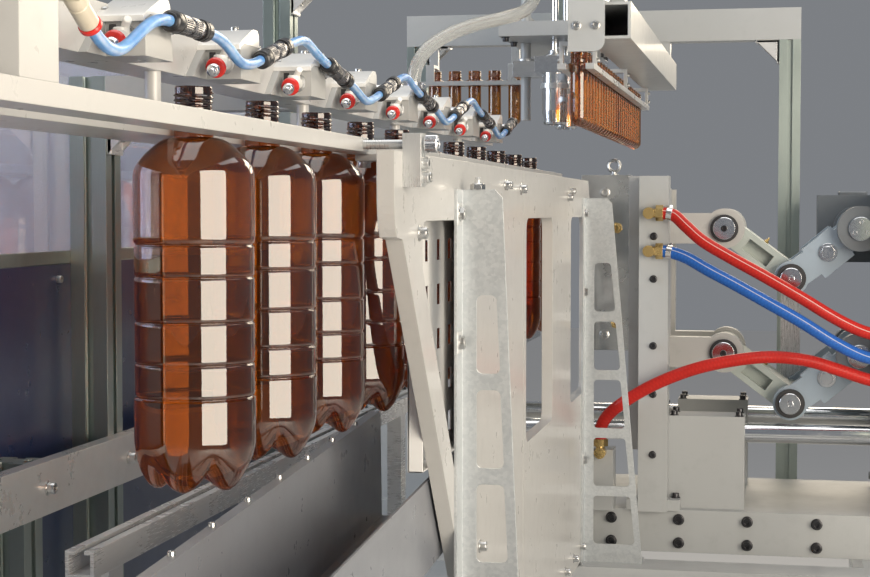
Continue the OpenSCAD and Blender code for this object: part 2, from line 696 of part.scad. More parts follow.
module preforms() {
  color("peru") in_line() {
    for (i = [0:preform_count - 1]) translate([preform_x, line_y[0] + 50 + preform_pitch * 0.93 * i,
        preform_z + 0.1]) preform();
    for (i = [0:cross_preform_count - 1])
      translate([-275 + preform_pitch * 0.93 * i, cross_rail_y, cross_rail_z + 0.1]) preform();
  }
}

// Bottle: domed shoulder, five ring grooves, petaloid base
groove_z = [85, 106.5, 136.5, 164.5, 187];
groove_w = 3;
groove_d = 1.3;
shoulder_h = 48;
// Straight neck below the support ring, as deep as the rails that carry it
neck_drop = rail_t + 1.2;
function shoulder(r0, r1, z0, z1, n = 7) =
  [for (i = [0:n]) let (a = 90 * i / n) [r0 + (r1 - r0) * sin(a), z0 + (z1 - z0) * (1 - cos(a))]];
function groove(z) = [[waist_d / 2, -z + groove_w / 2], [waist_d / 2 - groove_d, -z + groove_w / 6],
  [waist_d / 2 - groove_d, -z - groove_w / 6], [waist_d / 2, -z - groove_w / 2]];
module bottle_outside() {
  neck_r = finish_d / 2 + 0.4;
  rotate_extrude() polygon(concat([[0, finish_h], [finish_d / 2 - 1, finish_h], [finish_d / 2 - 1, 3],
    [ring_d / 2, 2], [ring_d / 2, 0], [neck_r, 0]],
    shoulder(neck_r, body_d / 2, -neck_drop, -shoulder_h),
    [[body_d / 2, -groove_z[0] + 6]], groove(groove_z[0]), groove(groove_z[1]), groove(groove_z[2]),
    groove(groove_z[3]), groove(groove_z[4]), [[body_d / 2, -groove_z[4] - 7],
        [body_d / 2, -bottle_h + 36]],
    arc(body_d / 2 - 36, -bottle_h + 36, 36, 0, -62, 6), [[18, -bottle_h], [8, -bottle_h + 4],
        [0, -bottle_h + 5]]));
}
module bottle_inside() {
  r = body_d / 2 - pet_t - groove_d;
  neck_r = finish_d / 2 - 2.4;
  rotate_extrude() polygon(concat([[0, finish_h + 1], [neck_r, finish_h + 1], [neck_r, -6]],
    shoulder(neck_r, r, -neck_drop - 1, -shoulder_h - 2), [[r, -bottle_h + 44]],
    arc(r - 24, -bottle_h + 44, 24, 0, -60, 4), [[0, -bottle_h + 22]]));
}
module bottle() {
  difference() {
    bottle_outside();
    for (k = [0:4]) rotate([0, 0, 18 + 72 * k]) translate([13, 0, -bottle_h - 6.5])
      rotate([0, 58, 0]) cylinder(d = 22, h = 60);
    bottle_inside();
  }
}
module bottles() {
  color("saddlebrown") in_line() for (i = [0:bottle_count - 1]) translate([0, pitch * i, neck_z + 0.1])
      bottle();
}

// Hoses: hand-chosen routes, with Y from the front face of the water column
hose_d = 20;
red_upper_route = [[198, -12, 1098], [216, -14, 1094], [236, -20, 1076], [264, -26, 1052],
    [308, -28, 1026],
  [362, -26, 996], [420, -18, 962], [468, -4, 932], [506, 12, 912], [532, 24, 903],
      [552, 26, 902]];
blue_route = [[198, -12, 1036], [216, -14, 1033], [240, -20, 1024], [272, -28, 1006], [314, -32, 984],
  [364, -30, 956], [418, -22, 925], [466, -8, 894], [506, 10, 872], [532, 24, 863],
      [552, 26, 862]];
red_lower_route = [[97, -12, 726], [98, -13, 744], [112, -20, 768], [144, -28, 794], [192, -32, 822],
    [252, -30, 846],
  [312, -24, 860], [372, -14, 866], [430, -2, 860], [482, 12, 844], [526, 24, 829],
      [552, 26, 826]];
clear_route = [[-80, 1066, 1252], [-80, 1066, 1270], [-76, 1072, 1292], [-64, 1088, 1314],
    [-42, 1118, 1334],
  [-14, 1156, 1350], [14, 1196, 1362], [36, 1232, 1374], [46, 1260, 1390], [48, 1269, 1404],
      [48, 1270, 1416]];
module water_hose(route) { in_line() translate([0, column_y[0], 0]) sweep(route, hose_d, 8, [0, 1, 0]); }
module red_hose_upper() { color("red") water_hose(red_upper_route); }
module blue_hose() { color("royalblue") water_hose(blue_route); }
module red_hose_lower() { color("red") water_hose(red_lower_route); }
module clear_hose() { color("lightgray") in_line() sweep(clear_route, 18, 8, [0.84, -0.54, 0]); }

// Water manifolds: the column at the mould, the supply block at the side, the low outlet
column_x = [158, 206];
// Guide bars of the clamp beside its middle, and their pedestals
bar_y = 130;
pedestal_w = 68;
column_front = clamp_y - max(mould_l / 2, bar_y + pedestal_w / 2) - 49;
column_y = [column_front, column_front + 48];
supply_x = 564;
module manifold_blocks() {
  color("lightgray") in_line() {
    span(column_x, column_y, [bed_z, neck_z - 4]);
    span([column_x[0] - 20, column_x[1] + 20], [column_y[0] + 16, column_y[1]], [bed_z, bed_z + 18]);
    span([supply_x, supply_x + 30], column_y, [bed_z, neck_z - 23]);
    span([wall_x + 1, wall_x + 41], column_y, [bed_z, bed_z + 101]);
  }
}
tail_d = 15;
hose_y = column_y[0] - 12;
module hose_tail(p, dir, reach, grip = 26) {
  translate(p) rotate(dir) {
    cylinder(d = tail_d, h = reach + grip - 12);
    translate([0, 0, reach - 12]) cylinder(d = 26, h = 12, $fn = 6);
  }
}
// An elbow on a front face: its stub points at the operator's end, its tail along dir
module hose_elbow(p, dir, reach) {
  translate([p[0], column_y[0], p[2]]) rotate([90, 0, 0]) cylinder(d = 19, h = column_y[0] - p[1] + 9.5);
  hose_tail(p, dir, reach);
}
module hose_fittings() {
  color("goldenrod") in_line() {
    for (z = [red_upper_route[0][2], blue_route[0][2]]) hose_elbow([175, hose_y, z], [0, 90, 0], 23);
    hose_elbow([red_lower_route[0][0], hose_y, red_lower_route[0][2] - 23], [0, 0, 0], 23);
    for (r = [red_upper_route, blue_route, red_lower_route])
      hose_tail([supply_x, column_y[0] + r[len(r) - 1][1], r[len(r) - 1][2]], [0, -90, 0], 12);
    translate([-80, 1066, beam_z + beam_h]) {
      cylinder(d = 24, h = 10, $fn = 6);
      cylinder(d = 12, h = 26);
    }
    translate([48, post_y[2], arm_z]) rotate([180, 0, 0]) {
      cylinder(d = 24, h = 9, $fn = 6);
      cylinder(d = 12, h = 20);
    }
  }
}

// Mould clamp
half_l = mould_l / 2;
drop = link_l * sin(open_angle);
reach = link_l * cos(open_angle);
stroke = 2 * (link_l - reach);
part_gap = 0.15;
mould_x = part_gap + stroke;
platen_x = mould_x + mould_t;
front_x = platen_x + 155.85;
knee_x = front_x + reach;
rear_x = front_x + 2 * reach;
upper_z = neck_z - pivot_drop;
lower_z = upper_z - toggle_gap;
mould_z = [neck_z - 296, neck_z - 1];
platen_z = [neck_z - 463, neck_z - 3];
lug_y = [60, 85];
bar_z = neck_z - 433;
lever_eye_r = 34;
anchor_x = rear_x + lever_eye_r + 2;
anchor_t = 38;
anchor_lug_y = [88, 118];
module cavity() {
  rotate_extrude() polygon(concat([[0, 40], [ring_d / 2 + 2, 40], [ring_d / 2 + 2, -0.5],
      [finish_d / 2 + 0.8, -0.5]],
    shoulder(finish_d / 2 + 0.8, body_d / 2 + 0.4, -neck_drop, -shoulder_h), [[body_d / 2 + 0.4, -bottle_h + 30]],
    arc(body_d / 2 + 0.4 - 30, -bottle_h + 30, 30, 0, -60, 4), [[0, -bottle_h - 2]]));
}
module mould_half() {
  difference() {
    span([mould_x, platen_x - 0.02], [clamp_y - half_l, clamp_y + half_l], mould_z);
    for (s = [-1, 1]) translate([stroke, clamp_y + s * pitch / 2, neck_z]) cavity();
    // Ports of the cooling bores in both end faces
    for (z = [90, 250], y = [clamp_y - half_l - 1, clamp_y + half_l - 17])
        translate([platen_x - 20, y, neck_z - z])
      rotate([-90, 0, 0]) cylinder(d = 14, h = 18);
  }
}
module eye(x, z, r) { translate([x, z]) circle(r); }
module strap(x0, z0, x1, z1, w) {
  l = norm([x1 - x0, z1 - z0]);
  translate([x0, z0]) rotate(atan2(z1 - z0, x1 - x0)) translate([0, -w / 2]) square([l, w]);
}
module platen() {
  difference() {
    union() {
      span([platen_x, platen_x + platen_t], [clamp_y - half_l, clamp_y + half_l], platen_z);
      for (s = [-1, 1]) plate_xz(clamp_y + (s > 0 ? lug_y[0] : -lug_y[1]), lug_y[1] - lug_y[0]) {
        translate([platen_x + platen_t - 1, platen_z[0] + 110])
            square([36, platen_z[1] - platen_z[0] - 130]);
        for (z = [upper_z, lower_z]) {
          strap(platen_x + platen_t, z, front_x, z, 52);
          eye(front_x, z, 34);
        }
      }
      for (z = [upper_z, lower_z]) translate([front_x, clamp_y - lug_y[1] - 8, z]) rotate([-90, 0, 0])
        cylinder(d = pin_d, h = 2 * lug_y[1] + 16);
      for (s = [-1, 1]) translate([platen_x + platen_t - 1, clamp_y + s * bar_y, bar_z]) rotate([0, 90, 0])
        cylinder(d = bar_d + 22, h = 16);
    }
    for (s = [-1, 1]) translate([platen_x - 1, clamp_y + s * bar_y, bar_z]) rotate([0, 90, 0])
      cylinder(d = bar_d + 2 * run_c, h = platen_t + 20);
  }
}
link_y = 59.4;
module front_link(z) {
  difference() {
    plate_xz(clamp_y - link_y, 2 * link_y) difference() {
      union() {
        strap(front_x, z, knee_x, z - drop, 42);
        eye(front_x, z, 27);
        eye(knee_x, z - drop, 27);
      }
      eye(front_x, z, pin_d / 2 + run_c);
      eye(knee_x, z - drop, pin_d / 2 + run_c);
    }
    // Relief across the middle of the link
    for (s = [-1, 1]) translate([0, clamp_y + (s > 0 ? 40 : -60), 0]) plate_xz(0, 20)
      strap(front_x + 0.32 * reach, z - 0.32 * drop, front_x + 0.68 * reach, z - 0.68 * drop, 22);
  }
}
shaft_d = 40;
module rear_lever(z, shaft_end) {
  color("lightsteelblue") {
    for (s = [-1, 1]) plate_xz(clamp_y + (s > 0 ? lug_y[0] : -lug_y[1]), lug_y[1] - lug_y[0]) {
      strap(knee_x, z - drop, rear_x, z, 48);
      eye(knee_x, z - drop, 29);
      eye(rear_x, z, lever_eye_r);
      translate([(knee_x + rear_x) / 2 + 4, z - drop / 2 + 2]) rotate(-50) translate([-31, -31]) square(62);
    }
    translate([knee_x, clamp_y - lug_y[1] - 8, z - drop]) rotate([-90, 0, 0])
        cylinder(d = pin_d, h = 2 * lug_y[1] + 29);
    translate([rear_x, clamp_y - anchor_lug_y[1] - 3, z]) rotate([-90, 0, 0])
      cylinder(d = shaft_d, h = anchor_lug_y[1] + 3 + shaft_end);
    translate([(knee_x + rear_x) / 2 + 22, clamp_y - lug_y[1] - 2.4, z - drop / 2 + 20]) rotate([-90, 0, 0])
      cylinder(d = 22, h = 3);
  }
}
module tie_bar() {
  color("silver") plate_xz(clamp_y + lug_y[1] + 2, 16) difference() {
    union() {
      strap(knee_x, upper_z - drop, knee_x, lower_z - drop, 34);
      for (z = [upper_z, lower_z]) eye(knee_x, z - drop, 24);
    }
    for (z = [upper_z, lower_z]) eye(knee_x, z - drop, pin_d / 2 + run_c);
  }
}
module anchor() {
  difference() {
    union() {
      span([anchor_x, anchor_x + anchor_t], [clamp_y - half_l, clamp_y + half_l], [bed_z, neck_z - 23]);
      for (s = [-1, 1]) plate_xz(clamp_y + (s > 0 ? anchor_lug_y[0] : -anchor_lug_y[1]),
          anchor_lug_y[1] - anchor_lug_y[0])
        for (z = [upper_z, lower_z]) {
          strap(rear_x, z, anchor_x + 1, z, 64);
          eye(rear_x, z, 38);
        }
    }
    for (z = [upper_z, lower_z]) translate([rear_x, clamp_y - half_l, z]) rotate([-90, 0, 0])
      cylinder(d = shaft_d + 2 * run_c, h = mould_l);
  }
}
module toggle_anchors() { color("dimgray") in_line() for (s = [0, 1]) mirror([s, 0, 0]) anchor(); }
shaft_stub = 40;
module drive_unit() {
  y0 = clamp_y + anchor_lug_y[1];
  difference() {
    union() {
      span([rear_x - 66, anchor_x - side_c], [y0, y0 + 86], [upper_z - 62, upper_z + 58]);
      translate([rear_x, y0 + 85, upper_z]) rotate([-90, 0, 0]) rotate_extrude()
        polygon([[0, 0], [50, 0], [50, 8], [44, 12], [44, 118], [38, 124], [0, 124]]);
    }
    translate([rear_x, y0 - 1, upper_z]) rotate([-90, 0, 0]) cylinder(d = shaft_d + 2 * run_c,
        h = shaft_stub + 4);
  }
}
module drive_units() { color("slategray") in_line() for (s = [0, 1]) mirror([s, 0, 0]) drive_unit(); }
module guide_bars() {
  color("silver") in_line() for (s = [-1, 1]) translate([-anchor_x, clamp_y + s * bar_y, bar_z])
      rotate([0, 90, 0])
    cylinder(d = bar_d, h = 2 * anchor_x);
}
bed_y = [clamp_y - half_l - 31, clamp_y + half_l + 31];
pedestal_x = [front_x - 87, front_x + 38];
module clamp_bed() {
  color("darkgray") in_line() {
    difference() {
      span([-base_w / 2, base_w / 2], bed_y, [base_z, bed_z]);
      for (i = [0:2]) span([-base_w / 2 - 1, base_w / 2 + 1], [bed_y[0] + 12 + i * 118,
          bed_y[0] + 122 + i * 118], [base_z + 12, bed_z - 12]);
    }
    for (s = [0, 1], t = [-1, 1]) mirror([s, 0, 0]) difference() {
      span(pedestal_x, [clamp_y + t * bar_y - pedestal_w / 2, clamp_y + t * bar_y + pedestal_w / 2],
        [bed_z, bar_z + 30]);
      translate([pedestal_x[0] - 1, clamp_y + t * bar_y, bar_z]) rotate([0, 90, 0])
          cylinder(d = bar_d + 2 * side_c, h = 200);
    }
  }
}
module mould_half_right() { color("silver") in_line() mould_half(); }
module mould_half_left() { color("silver") in_line() mirror([1, 0, 0]) mould_half(); }
module platen_right() { color("lightgray") in_line() platen(); }
module platen_left() { color("lightgray") in_line() mirror([1, 0, 0]) platen(); }
module front_link_upper_right() { color("darkseagreen") in_line() front_link(upper_z); }
module front_link_lower_right() { color("darkseagreen") in_line() front_link(lower_z); }
module front_link_upper_left() { color("darkseagreen") in_line() mirror([1, 0, 0]) front_link(upper_z); }
module front_link_lower_left() { color("darkseagreen") in_line() mirror([1, 0, 0]) front_link(lower_z); }
module rear_lever_upper_right() { in_line() rear_lever(upper_z, anchor_lug_y[1] + shaft_stub); }
module rear_lever_lower_right() { in_line() rear_lever(lower_z, anchor_lug_y[1] + 3); }
module rear_lever_upper_left() { in_line() mirror([1, 0, 0]) rear_lever(upper_z,
    anchor_lug_y[1] + shaft_stub); }
module rear_lever_lower_left() { in_line() mirror([1, 0, 0]) rear_lever(lower_z, anchor_lug_y[1] + 3); }
module tie_bar_right() { in_line() tie_bar(); }
module tie_bar_left() { in_line() mirror([1, 0, 0]) tie_bar(); }

// Blow head: plate under the rear portal, guided nozzle carriage and stretch rods
head_y = [clamp_y - 130, post_y[3] + post_w / 2];
head_x = 90;
guide_x = 62;
guide_d = 18;
nozzle_y = [clamp_y - pitch / 2, clamp_y + pitch / 2];
carriage_z = neck_z + 176;
carriage_h = 28;
nozzle_tip = neck_z + 88;
rod_tip = neck_z + 92;
yoke_z = neck_z + 612;
yoke_h = 26;
tower_z = neck_z + 670;
module head_plate() {
  color("gainsboro") in_line() {
    difference() {
      span([-head_x, head_x], head_y, [arm_z - head_t, arm_z]);
      for (y = nozzle_y) translate([0, y, arm_z - head_t - 1]) cylinder(d = rod_d + 4, h = head_t + 2);
    }
    for (s = [-1, 1]) {
      // Guide rods below for the nozzles, and above for the stretch yoke
      translate([s * guide_x, clamp_y, carriage_z - 76]) cylinder(d = guide_d,
          h = arm_z - head_t - carriage_z + 77);
      translate([s * guide_x, clamp_y, arm_z - 1]) cylinder(d = guide_d, h = tower_z - arm_z + 1);
      span([s * (head_x - 6) - 6, s * (head_x - 6) + 6], [clamp_y + 40, post_y[3] - post_w / 2],
          [arm_z - 1, arm_z + 40]);
    }
    span([-guide_x - 16, guide_x + 16], [clamp_y - 20, clamp_y + 20], [tower_z - 1, tower_z + 18]);
  }
}
module nozzle_carriage() {
  color("silver") in_line() difference() {
    union() {
      span([-30, 30], [nozzle_y[0] - 34, nozzle_y[1] + 34], [carriage_z, carriage_z + carriage_h]);
      span([-guide_x - 20, guide_x + 20], [clamp_y - 24, clamp_y + 24],
          [carriage_z, carriage_z + carriage_h]);
      for (y = nozzle_y) translate([0, y, 0]) rotate_extrude() polygon([[0, nozzle_tip], [18, nozzle_tip],
        [20, nozzle_tip + 4], [nozzle_d / 2, nozzle_tip + 24], [nozzle_d / 2, carriage_z + 1],
            [0, carriage_z + 1]]);
    }
    for (y = nozzle_y) translate([0, y, nozzle_tip - 1]) cylinder(d = rod_d + 1, h = 200);
    for (y = nozzle_y) translate([0, y, nozzle_tip - 1]) cylinder(d = finish_d + 6, h = 25);
    for (s = [-1, 1]) translate([s * guide_x, clamp_y, carriage_z - 1])
        cylinder(d = guide_d + 2 * run_c, h = carriage_h + 2);
  }
}
module stretch_rods() {
  color("silver") in_line() difference() {
    union() {
      for (y = nozzle_y) {
        translate([0, y, rod_tip + 6]) cylinder(d = rod_d, h = yoke_z - rod_tip - 5);
        translate([0, y, rod_tip + 6]) sphere(d = rod_d);
      }
      span([-20, 20], [nozzle_y[0] - 24, nozzle_y[1] + 24], [yoke_z, yoke_z + yoke_h]);
      span([-guide_x - 18, guide_x + 18], [clamp_y - 22, clamp_y + 22], [yoke_z, yoke_z + yoke_h]);
    }
    for (s = [-1, 1]) translate([s * guide_x, clamp_y, yoke_z - 1])
        cylinder(d = guide_d + 2 * run_c, h = yoke_h + 2);
  }
}

side_rails();
cross_rails();
legs();
levelling_feet();
wall_sill();
wall_plate_front();
wall_plate_rear();
slotted_sheet();
gusset_front();
gusset_rear();
discharge_chute();
near_rail();
far_rail();
rail_brackets();
rail_clamp();
clamp_knob();
upper_beam();
valve_blocks();
block_fittings();
release_rings();
coupling_bodies();
coupling_collars();
tube_links();
gantry_posts();
gantry_arms();
overhead_beam();
preform_rails();
preforms();
rear_rail();
guide_profile();
bottles();
red_hose_upper();
blue_hose();
red_hose_lower();
clear_hose();
manifold_blocks();
hose_fittings();
head_plate();
nozzle_carriage();
stretch_rods();
guard_panel();
clamp_bed();
guide_bars();
toggle_anchors();
drive_units();
mould_half_right();
platen_right();
front_link_upper_right();
front_link_lower_right();
rear_lever_upper_right();
rear_lever_lower_right();
tie_bar_right();
mould_half_left();
platen_left();
front_link_upper_left();
front_link_lower_left();
rear_lever_upper_left();
rear_lever_lower_left();
tie_bar_left();
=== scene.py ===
from itertools import product
from math import cos, pi, radians, sin, sqrt, tan

import bpy
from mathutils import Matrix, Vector


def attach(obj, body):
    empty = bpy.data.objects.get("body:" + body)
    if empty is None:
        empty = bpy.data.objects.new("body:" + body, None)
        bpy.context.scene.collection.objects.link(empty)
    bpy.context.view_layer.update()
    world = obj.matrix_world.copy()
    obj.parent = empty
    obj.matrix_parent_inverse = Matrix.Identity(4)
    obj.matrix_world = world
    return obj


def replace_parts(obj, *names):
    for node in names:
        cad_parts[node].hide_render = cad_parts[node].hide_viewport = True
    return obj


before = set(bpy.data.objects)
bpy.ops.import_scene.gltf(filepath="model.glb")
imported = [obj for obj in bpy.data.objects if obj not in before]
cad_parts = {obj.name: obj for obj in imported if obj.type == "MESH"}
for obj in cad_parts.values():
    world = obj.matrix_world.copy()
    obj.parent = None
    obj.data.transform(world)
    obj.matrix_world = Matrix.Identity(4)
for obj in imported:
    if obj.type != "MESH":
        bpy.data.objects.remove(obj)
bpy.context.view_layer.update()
scene = bpy.context.scene

# Places in millimetres: x across the line, y along it from the first bottle, z up from the floor
ROOT = "machine_frame"
FIRST = 920.0           # y of the shared frame's origin
BOTTLES = 11
PITCH = 154.0           # from bottle to bottle
PREFORMS = 24           # on the rails along the line
NECK = 1163.0           # top of the neck rails
RAIL = NECK - 12        # underside of the neck rails
SEAT = NECK - 41        # top of the gussets
BEAM = NECK + 40.6      # underside of the valve beam and of the front arms
ARM = NECK + 262        # underside of the gantry arms
BASE = 534.0            # top of the base frame
WALL = 76               # outer face of the bottle row's wall
POST_X = -320           # posts behind the line
POST_Y = (-380, 390, 593, 1270, 2220)
CLAMP_Y = 1925.0        # middle of the clamp
UPPER = NECK - 91       # toggle pivots
LOWER = UPPER - 212
TURN = 2 * pi
X, Y, Z = (1, 0, 0), (0, 1, 0), (0, 0, 1)
FRONT, DOWN = (0, -1, 0), (0, 0, -1)


class Sock:
    """A shader socket: arithmetic on it adds Math nodes."""

    def __init__(self, kit, out):
        self.kit, self.out = kit, out

    def __add__(self, o):
        return self.kit.math("ADD", self, o)

    def __mul__(self, o):
        return self.kit.math("MULTIPLY", self, o)

    def __sub__(self, o):
        return self.kit.math("SUBTRACT", self, o)

    def __rsub__(self, o):
        return self.kit.math("SUBTRACT", o, self)

    __radd__, __rmul__ = __add__, __mul__


class Kit:
    """One material and the nodes it is made of."""

    def __init__(self, name):
        self.mat = bpy.data.materials.new(name)
        self.mat.use_nodes = True
        self.tree = self.mat.node_tree
        self.tree.nodes.clear()
        self.out = self.tree.nodes.new("ShaderNodeOutputMaterial")
        self.bsdf = self.tree.nodes.new("ShaderNodeBsdfPrincipled")
        self.tree.links.new(self.bsdf.outputs[0], self.out.inputs[0])
        self.coord = self.node("TexCoord", "Object")

    def put(self, socket, value):
        if isinstance(value, Sock):
            self.tree.links.new(value.out, socket)
        elif value is not None:
            socket.default_value = value

    def node(self, kind, output=0, inputs=None, **settings):
        n = self.tree.nodes.new("ShaderNode" + kind)
        for k, v in settings.items():
            setattr(n, k, v)
        for k, v in (inputs or {}).items():
            self.put(n.inputs[k], v)
        return Sock(self, n.outputs[output])

    def math(self, op, a, b=0.0, clamp=False):
        return self.node("Math", 0, {0: a, 1: b}, operation=op, use_clamp=clamp)

    def mix(self, fac, a, b):
        return self.node("Mix", 2, {0: fac, 6: a, 7: b}, data_type="RGBA")

    def noise(self, scale, stretch=(1, 1, 1), detail=3.0, rough=0.55):
        where = self.node("VectorMath", 0, {0: self.coord, 1: stretch}, operation="MULTIPLY")
        return self.node("TexNoise", 0, {"Vector": where, "Scale": scale, "Detail": detail,
                                         "Roughness": rough})

    def ramp(self, x, a, b):
        """0 to 1 as x goes from a to b."""
        return self.node("MapRange", 0, {0: x, 1: a, 2: b})

    def height(self, of):
        return self.node("SeparateXYZ", 2, {0: of})

    def bump(self, height, strength, distance=0.001, under=None):
        return self.node("Bump", 0, {"Height": height, "Strength": strength,
                                     "Distance": distance, "Normal": under})

    def along(self):
        """Turns round a tube and metres along it."""
        turn = self.node("SeparateXYZ", 0, {0: self.node("UVMap", 0, uv_map="along")})
        return turn, Sock(self, turn.out.node.outputs[1])

    def soft_edges(self, radius):
        return self.node("Bevel", 0, {"Radius": radius}, samples=4)

    def set(self, **sockets):
        for k, v in sockets.items():
            self.put(self.bsdf.inputs[k.replace("_", " ")], v)
        return self.mat


def rgb(r, g, b):
    return (r, g, b, 1.0)


def shade(c, k):
    return rgb(c[0] * k, c[1] * k, c[2] * k)


def paint(name, c, rough=0.34, dust=0.25, edge=0.0009, coat=0.15):
    """Enamel: faint mottling, orange peel, dust lying on what faces up, rub marks."""
    k = Kit(name)
    cloud = k.noise(2.3, detail=4)
    fine = k.noise(46, detail=5)
    col = k.mix(cloud, shade(c, 0.90), shade(c, 1.06))
    col = k.mix(k.ramp(fine, 0.56, 0.74) * 0.22, col, shade(c, 0.74))
    up = k.height(k.node("NewGeometry", "Normal"))
    lying = k.math("MULTIPLY", k.ramp(up, 0.6, 1.0), k.ramp(cloud, 0.3, 0.75), True)
    col = k.mix(lying * dust, col, rgb(0.36, 0.33, 0.28))
    rubbed = k.ramp(k.noise(7, (1, 0.8, 2.6), 6, 0.7), 0.64, 0.74)
    col = k.mix(rubbed * 0.10, col, shade(c, 0.66))
    r = k.math("ADD", fine * 0.16 + (rough - 0.08), lying * 0.3 + rubbed * 0.14, True)
    n = k.bump(k.noise(620, detail=2), 0.10, 0.0004, k.soft_edges(edge))
    return k.set(Base_Color=col, Roughness=r, Normal=n, Coat_Weight=coat, Coat_Roughness=0.12)


def metal(name, c, rough=0.26, stretch=(1, 1, 30), grain=0.3, edge=0.0006, spots=0.2, metallic=1.0):
    """Bare metal with a grain along one direction, fingerprints and darker stains."""
    k = Kit(name)
    line = k.noise(60, stretch, 6, 0.65)
    blot = k.noise(7, detail=5)
    col = k.mix(line, shade(c, 0.84), shade(c, 1.08))
    col = k.mix(k.ramp(blot, 0.5, 0.8) * spots, col, shade(c, 0.55))
    r = k.math("ADD", line * 0.16 + (rough - 0.08), k.ramp(blot, 0.45, 0.8) * 0.22, True)
    n = k.bump(line, grain, 0.0003, k.soft_edges(edge))
    return k.set(Base_Color=col, Roughness=r, Metallic=metallic, Normal=n)


def zinc(name):
    """Zinc plated sheet: a faint crystal pattern under a pale blue-grey sheen."""
    k = Kit(name)
    cells = k.node("TexVoronoi", "Color", {"Vector": k.coord, "Scale": 340})
    crystal = k.node("SeparateColor", 0, {0: cells})
    col = k.mix(crystal, rgb(0.50, 0.53, 0.55), rgb(0.58, 0.605, 0.62))
    stain = k.ramp(k.noise(5, detail=6), 0.52, 0.78)
    col = k.mix(stain * 0.22, col, rgb(0.38, 0.38, 0.36))
    n = k.bump(k.noise(90, (1, 1, 8), 4), 0.07, 0.0003, k.soft_edges(0.0006))
    return k.set(Base_Color=col, Roughness=crystal * 0.10 + 0.34, Metallic=0.6, Normal=n)


def plastic(name, c, rough=0.32, coat=0.25):
    """Moulded plastic with a fine grain, scuffs and a little grime."""
    k = Kit(name)
    cloud = k.noise(14, detail=4)
    col = k.mix(cloud, shade(c, 0.88), shade(c, 1.08))
    marks = k.ramp(k.noise(120, (1, 4, 1), 5, 0.7), 0.60, 0.70)
    col = k.mix(marks * 0.18, col, shade(c, 0.55))
    n = k.bump(k.noise(1500, detail=2), 0.08, 0.0003, k.soft_edges(0.0005))
    return k.set(Base_Color=col, Roughness=cloud * 0.14 + (rough - 0.05), Normal=n,
                 Coat_Weight=coat, Coat_Roughness=0.1)


def pet(name, light, dark, clear, thick=None):
    """Thin PET: tinted, clear, with faint flow streaks; thick is the colour of a bottle's neck.

    The coat's index is above that of PET: it stands for both faces of the thin wall.
    """
    k = Kit(name)
    flow = k.noise(22, (1, 1, 0.18), 5, 0.5)
    col = k.mix(k.ramp(flow, 0.3, 0.75), light, dark)
    if thick:
        col = k.mix(k.ramp(k.height(k.coord), -0.006, 0.001) * 0.85, col, thick)
    n = k.bump(k.noise(30, (1, 1, 0.2), 2), 0.05, 0.0005)
    return k.set(Base_Color=col, Roughness=flow * 0.06 + 0.01, Normal=n, Transmission_Weight=clear,
                 IOR=1.03, Coat_Weight=1.0, Coat_IOR=1.78, Coat_Roughness=0.02,
                 Coat_Tint=rgb(0.96, 0.97, 1.0))


def hose_finish(name, c, rough, weave=0.35, clear=0.0, coat=0.1):
    """Hose: a spiral weave under the skin, a lighter line along it and rubbed grime."""
    k = Kit(name)
    turn, metres = k.along()
    a = k.math("SINE", metres * 520 + turn * 12.566)
    b = k.math("SINE", metres * 520 - turn * 12.566)
    braid = k.math("MULTIPLY", k.math("ABSOLUTE", a), k.math("ABSOLUTE", b), True)
    grime = k.noise(16, detail=5)
    col = k.mix(braid * 0.45, shade(c, 0.82), shade(c, 1.12))
    col = k.mix(k.ramp(grime, 0.5, 0.8) * 0.35, col, shade(c, 0.5))
    line = k.math("LESS_THAN", k.math("ABSOLUTE", turn - 0.30), 0.012)
    col = k.mix(line * 0.5, col, rgb(0.75, 0.74, 0.70))
    return k.set(Base_Color=col, Normal=k.bump(braid, weave, 0.0004), Coat_Weight=coat,
                 Roughness=grime * 0.2 + (rough - 0.08), Transmission_Weight=clear, IOR=1.2)


def air_tube_finish(name):
    """Light blue polyurethane air tube with a pale core that shows in streaks."""
    k = Kit(name)
    turn, _ = k.along()
    cloud = k.noise(60, detail=4)
    col = k.mix(k.ramp(cloud, 0.42, 0.66), rgb(0.10, 0.28, 0.60), rgb(0.20, 0.42, 0.76))
    streak = k.ramp(k.math("ABSOLUTE", turn - 0.22), 0.09, 0.02)
    broken = k.ramp(k.noise(34, detail=5), 0.34, 0.6)
    col = k.mix(streak * broken * 0.5, col, rgb(0.80, 0.86, 0.92))
    return k.set(Base_Color=col, Roughness=cloud * 0.14 + 0.30, Coat_Weight=0.2,
                 Subsurface_Weight=0.25, Subsurface_Scale=0.003,
                 Normal=k.bump(k.noise(420), 0.05, 0.0003))


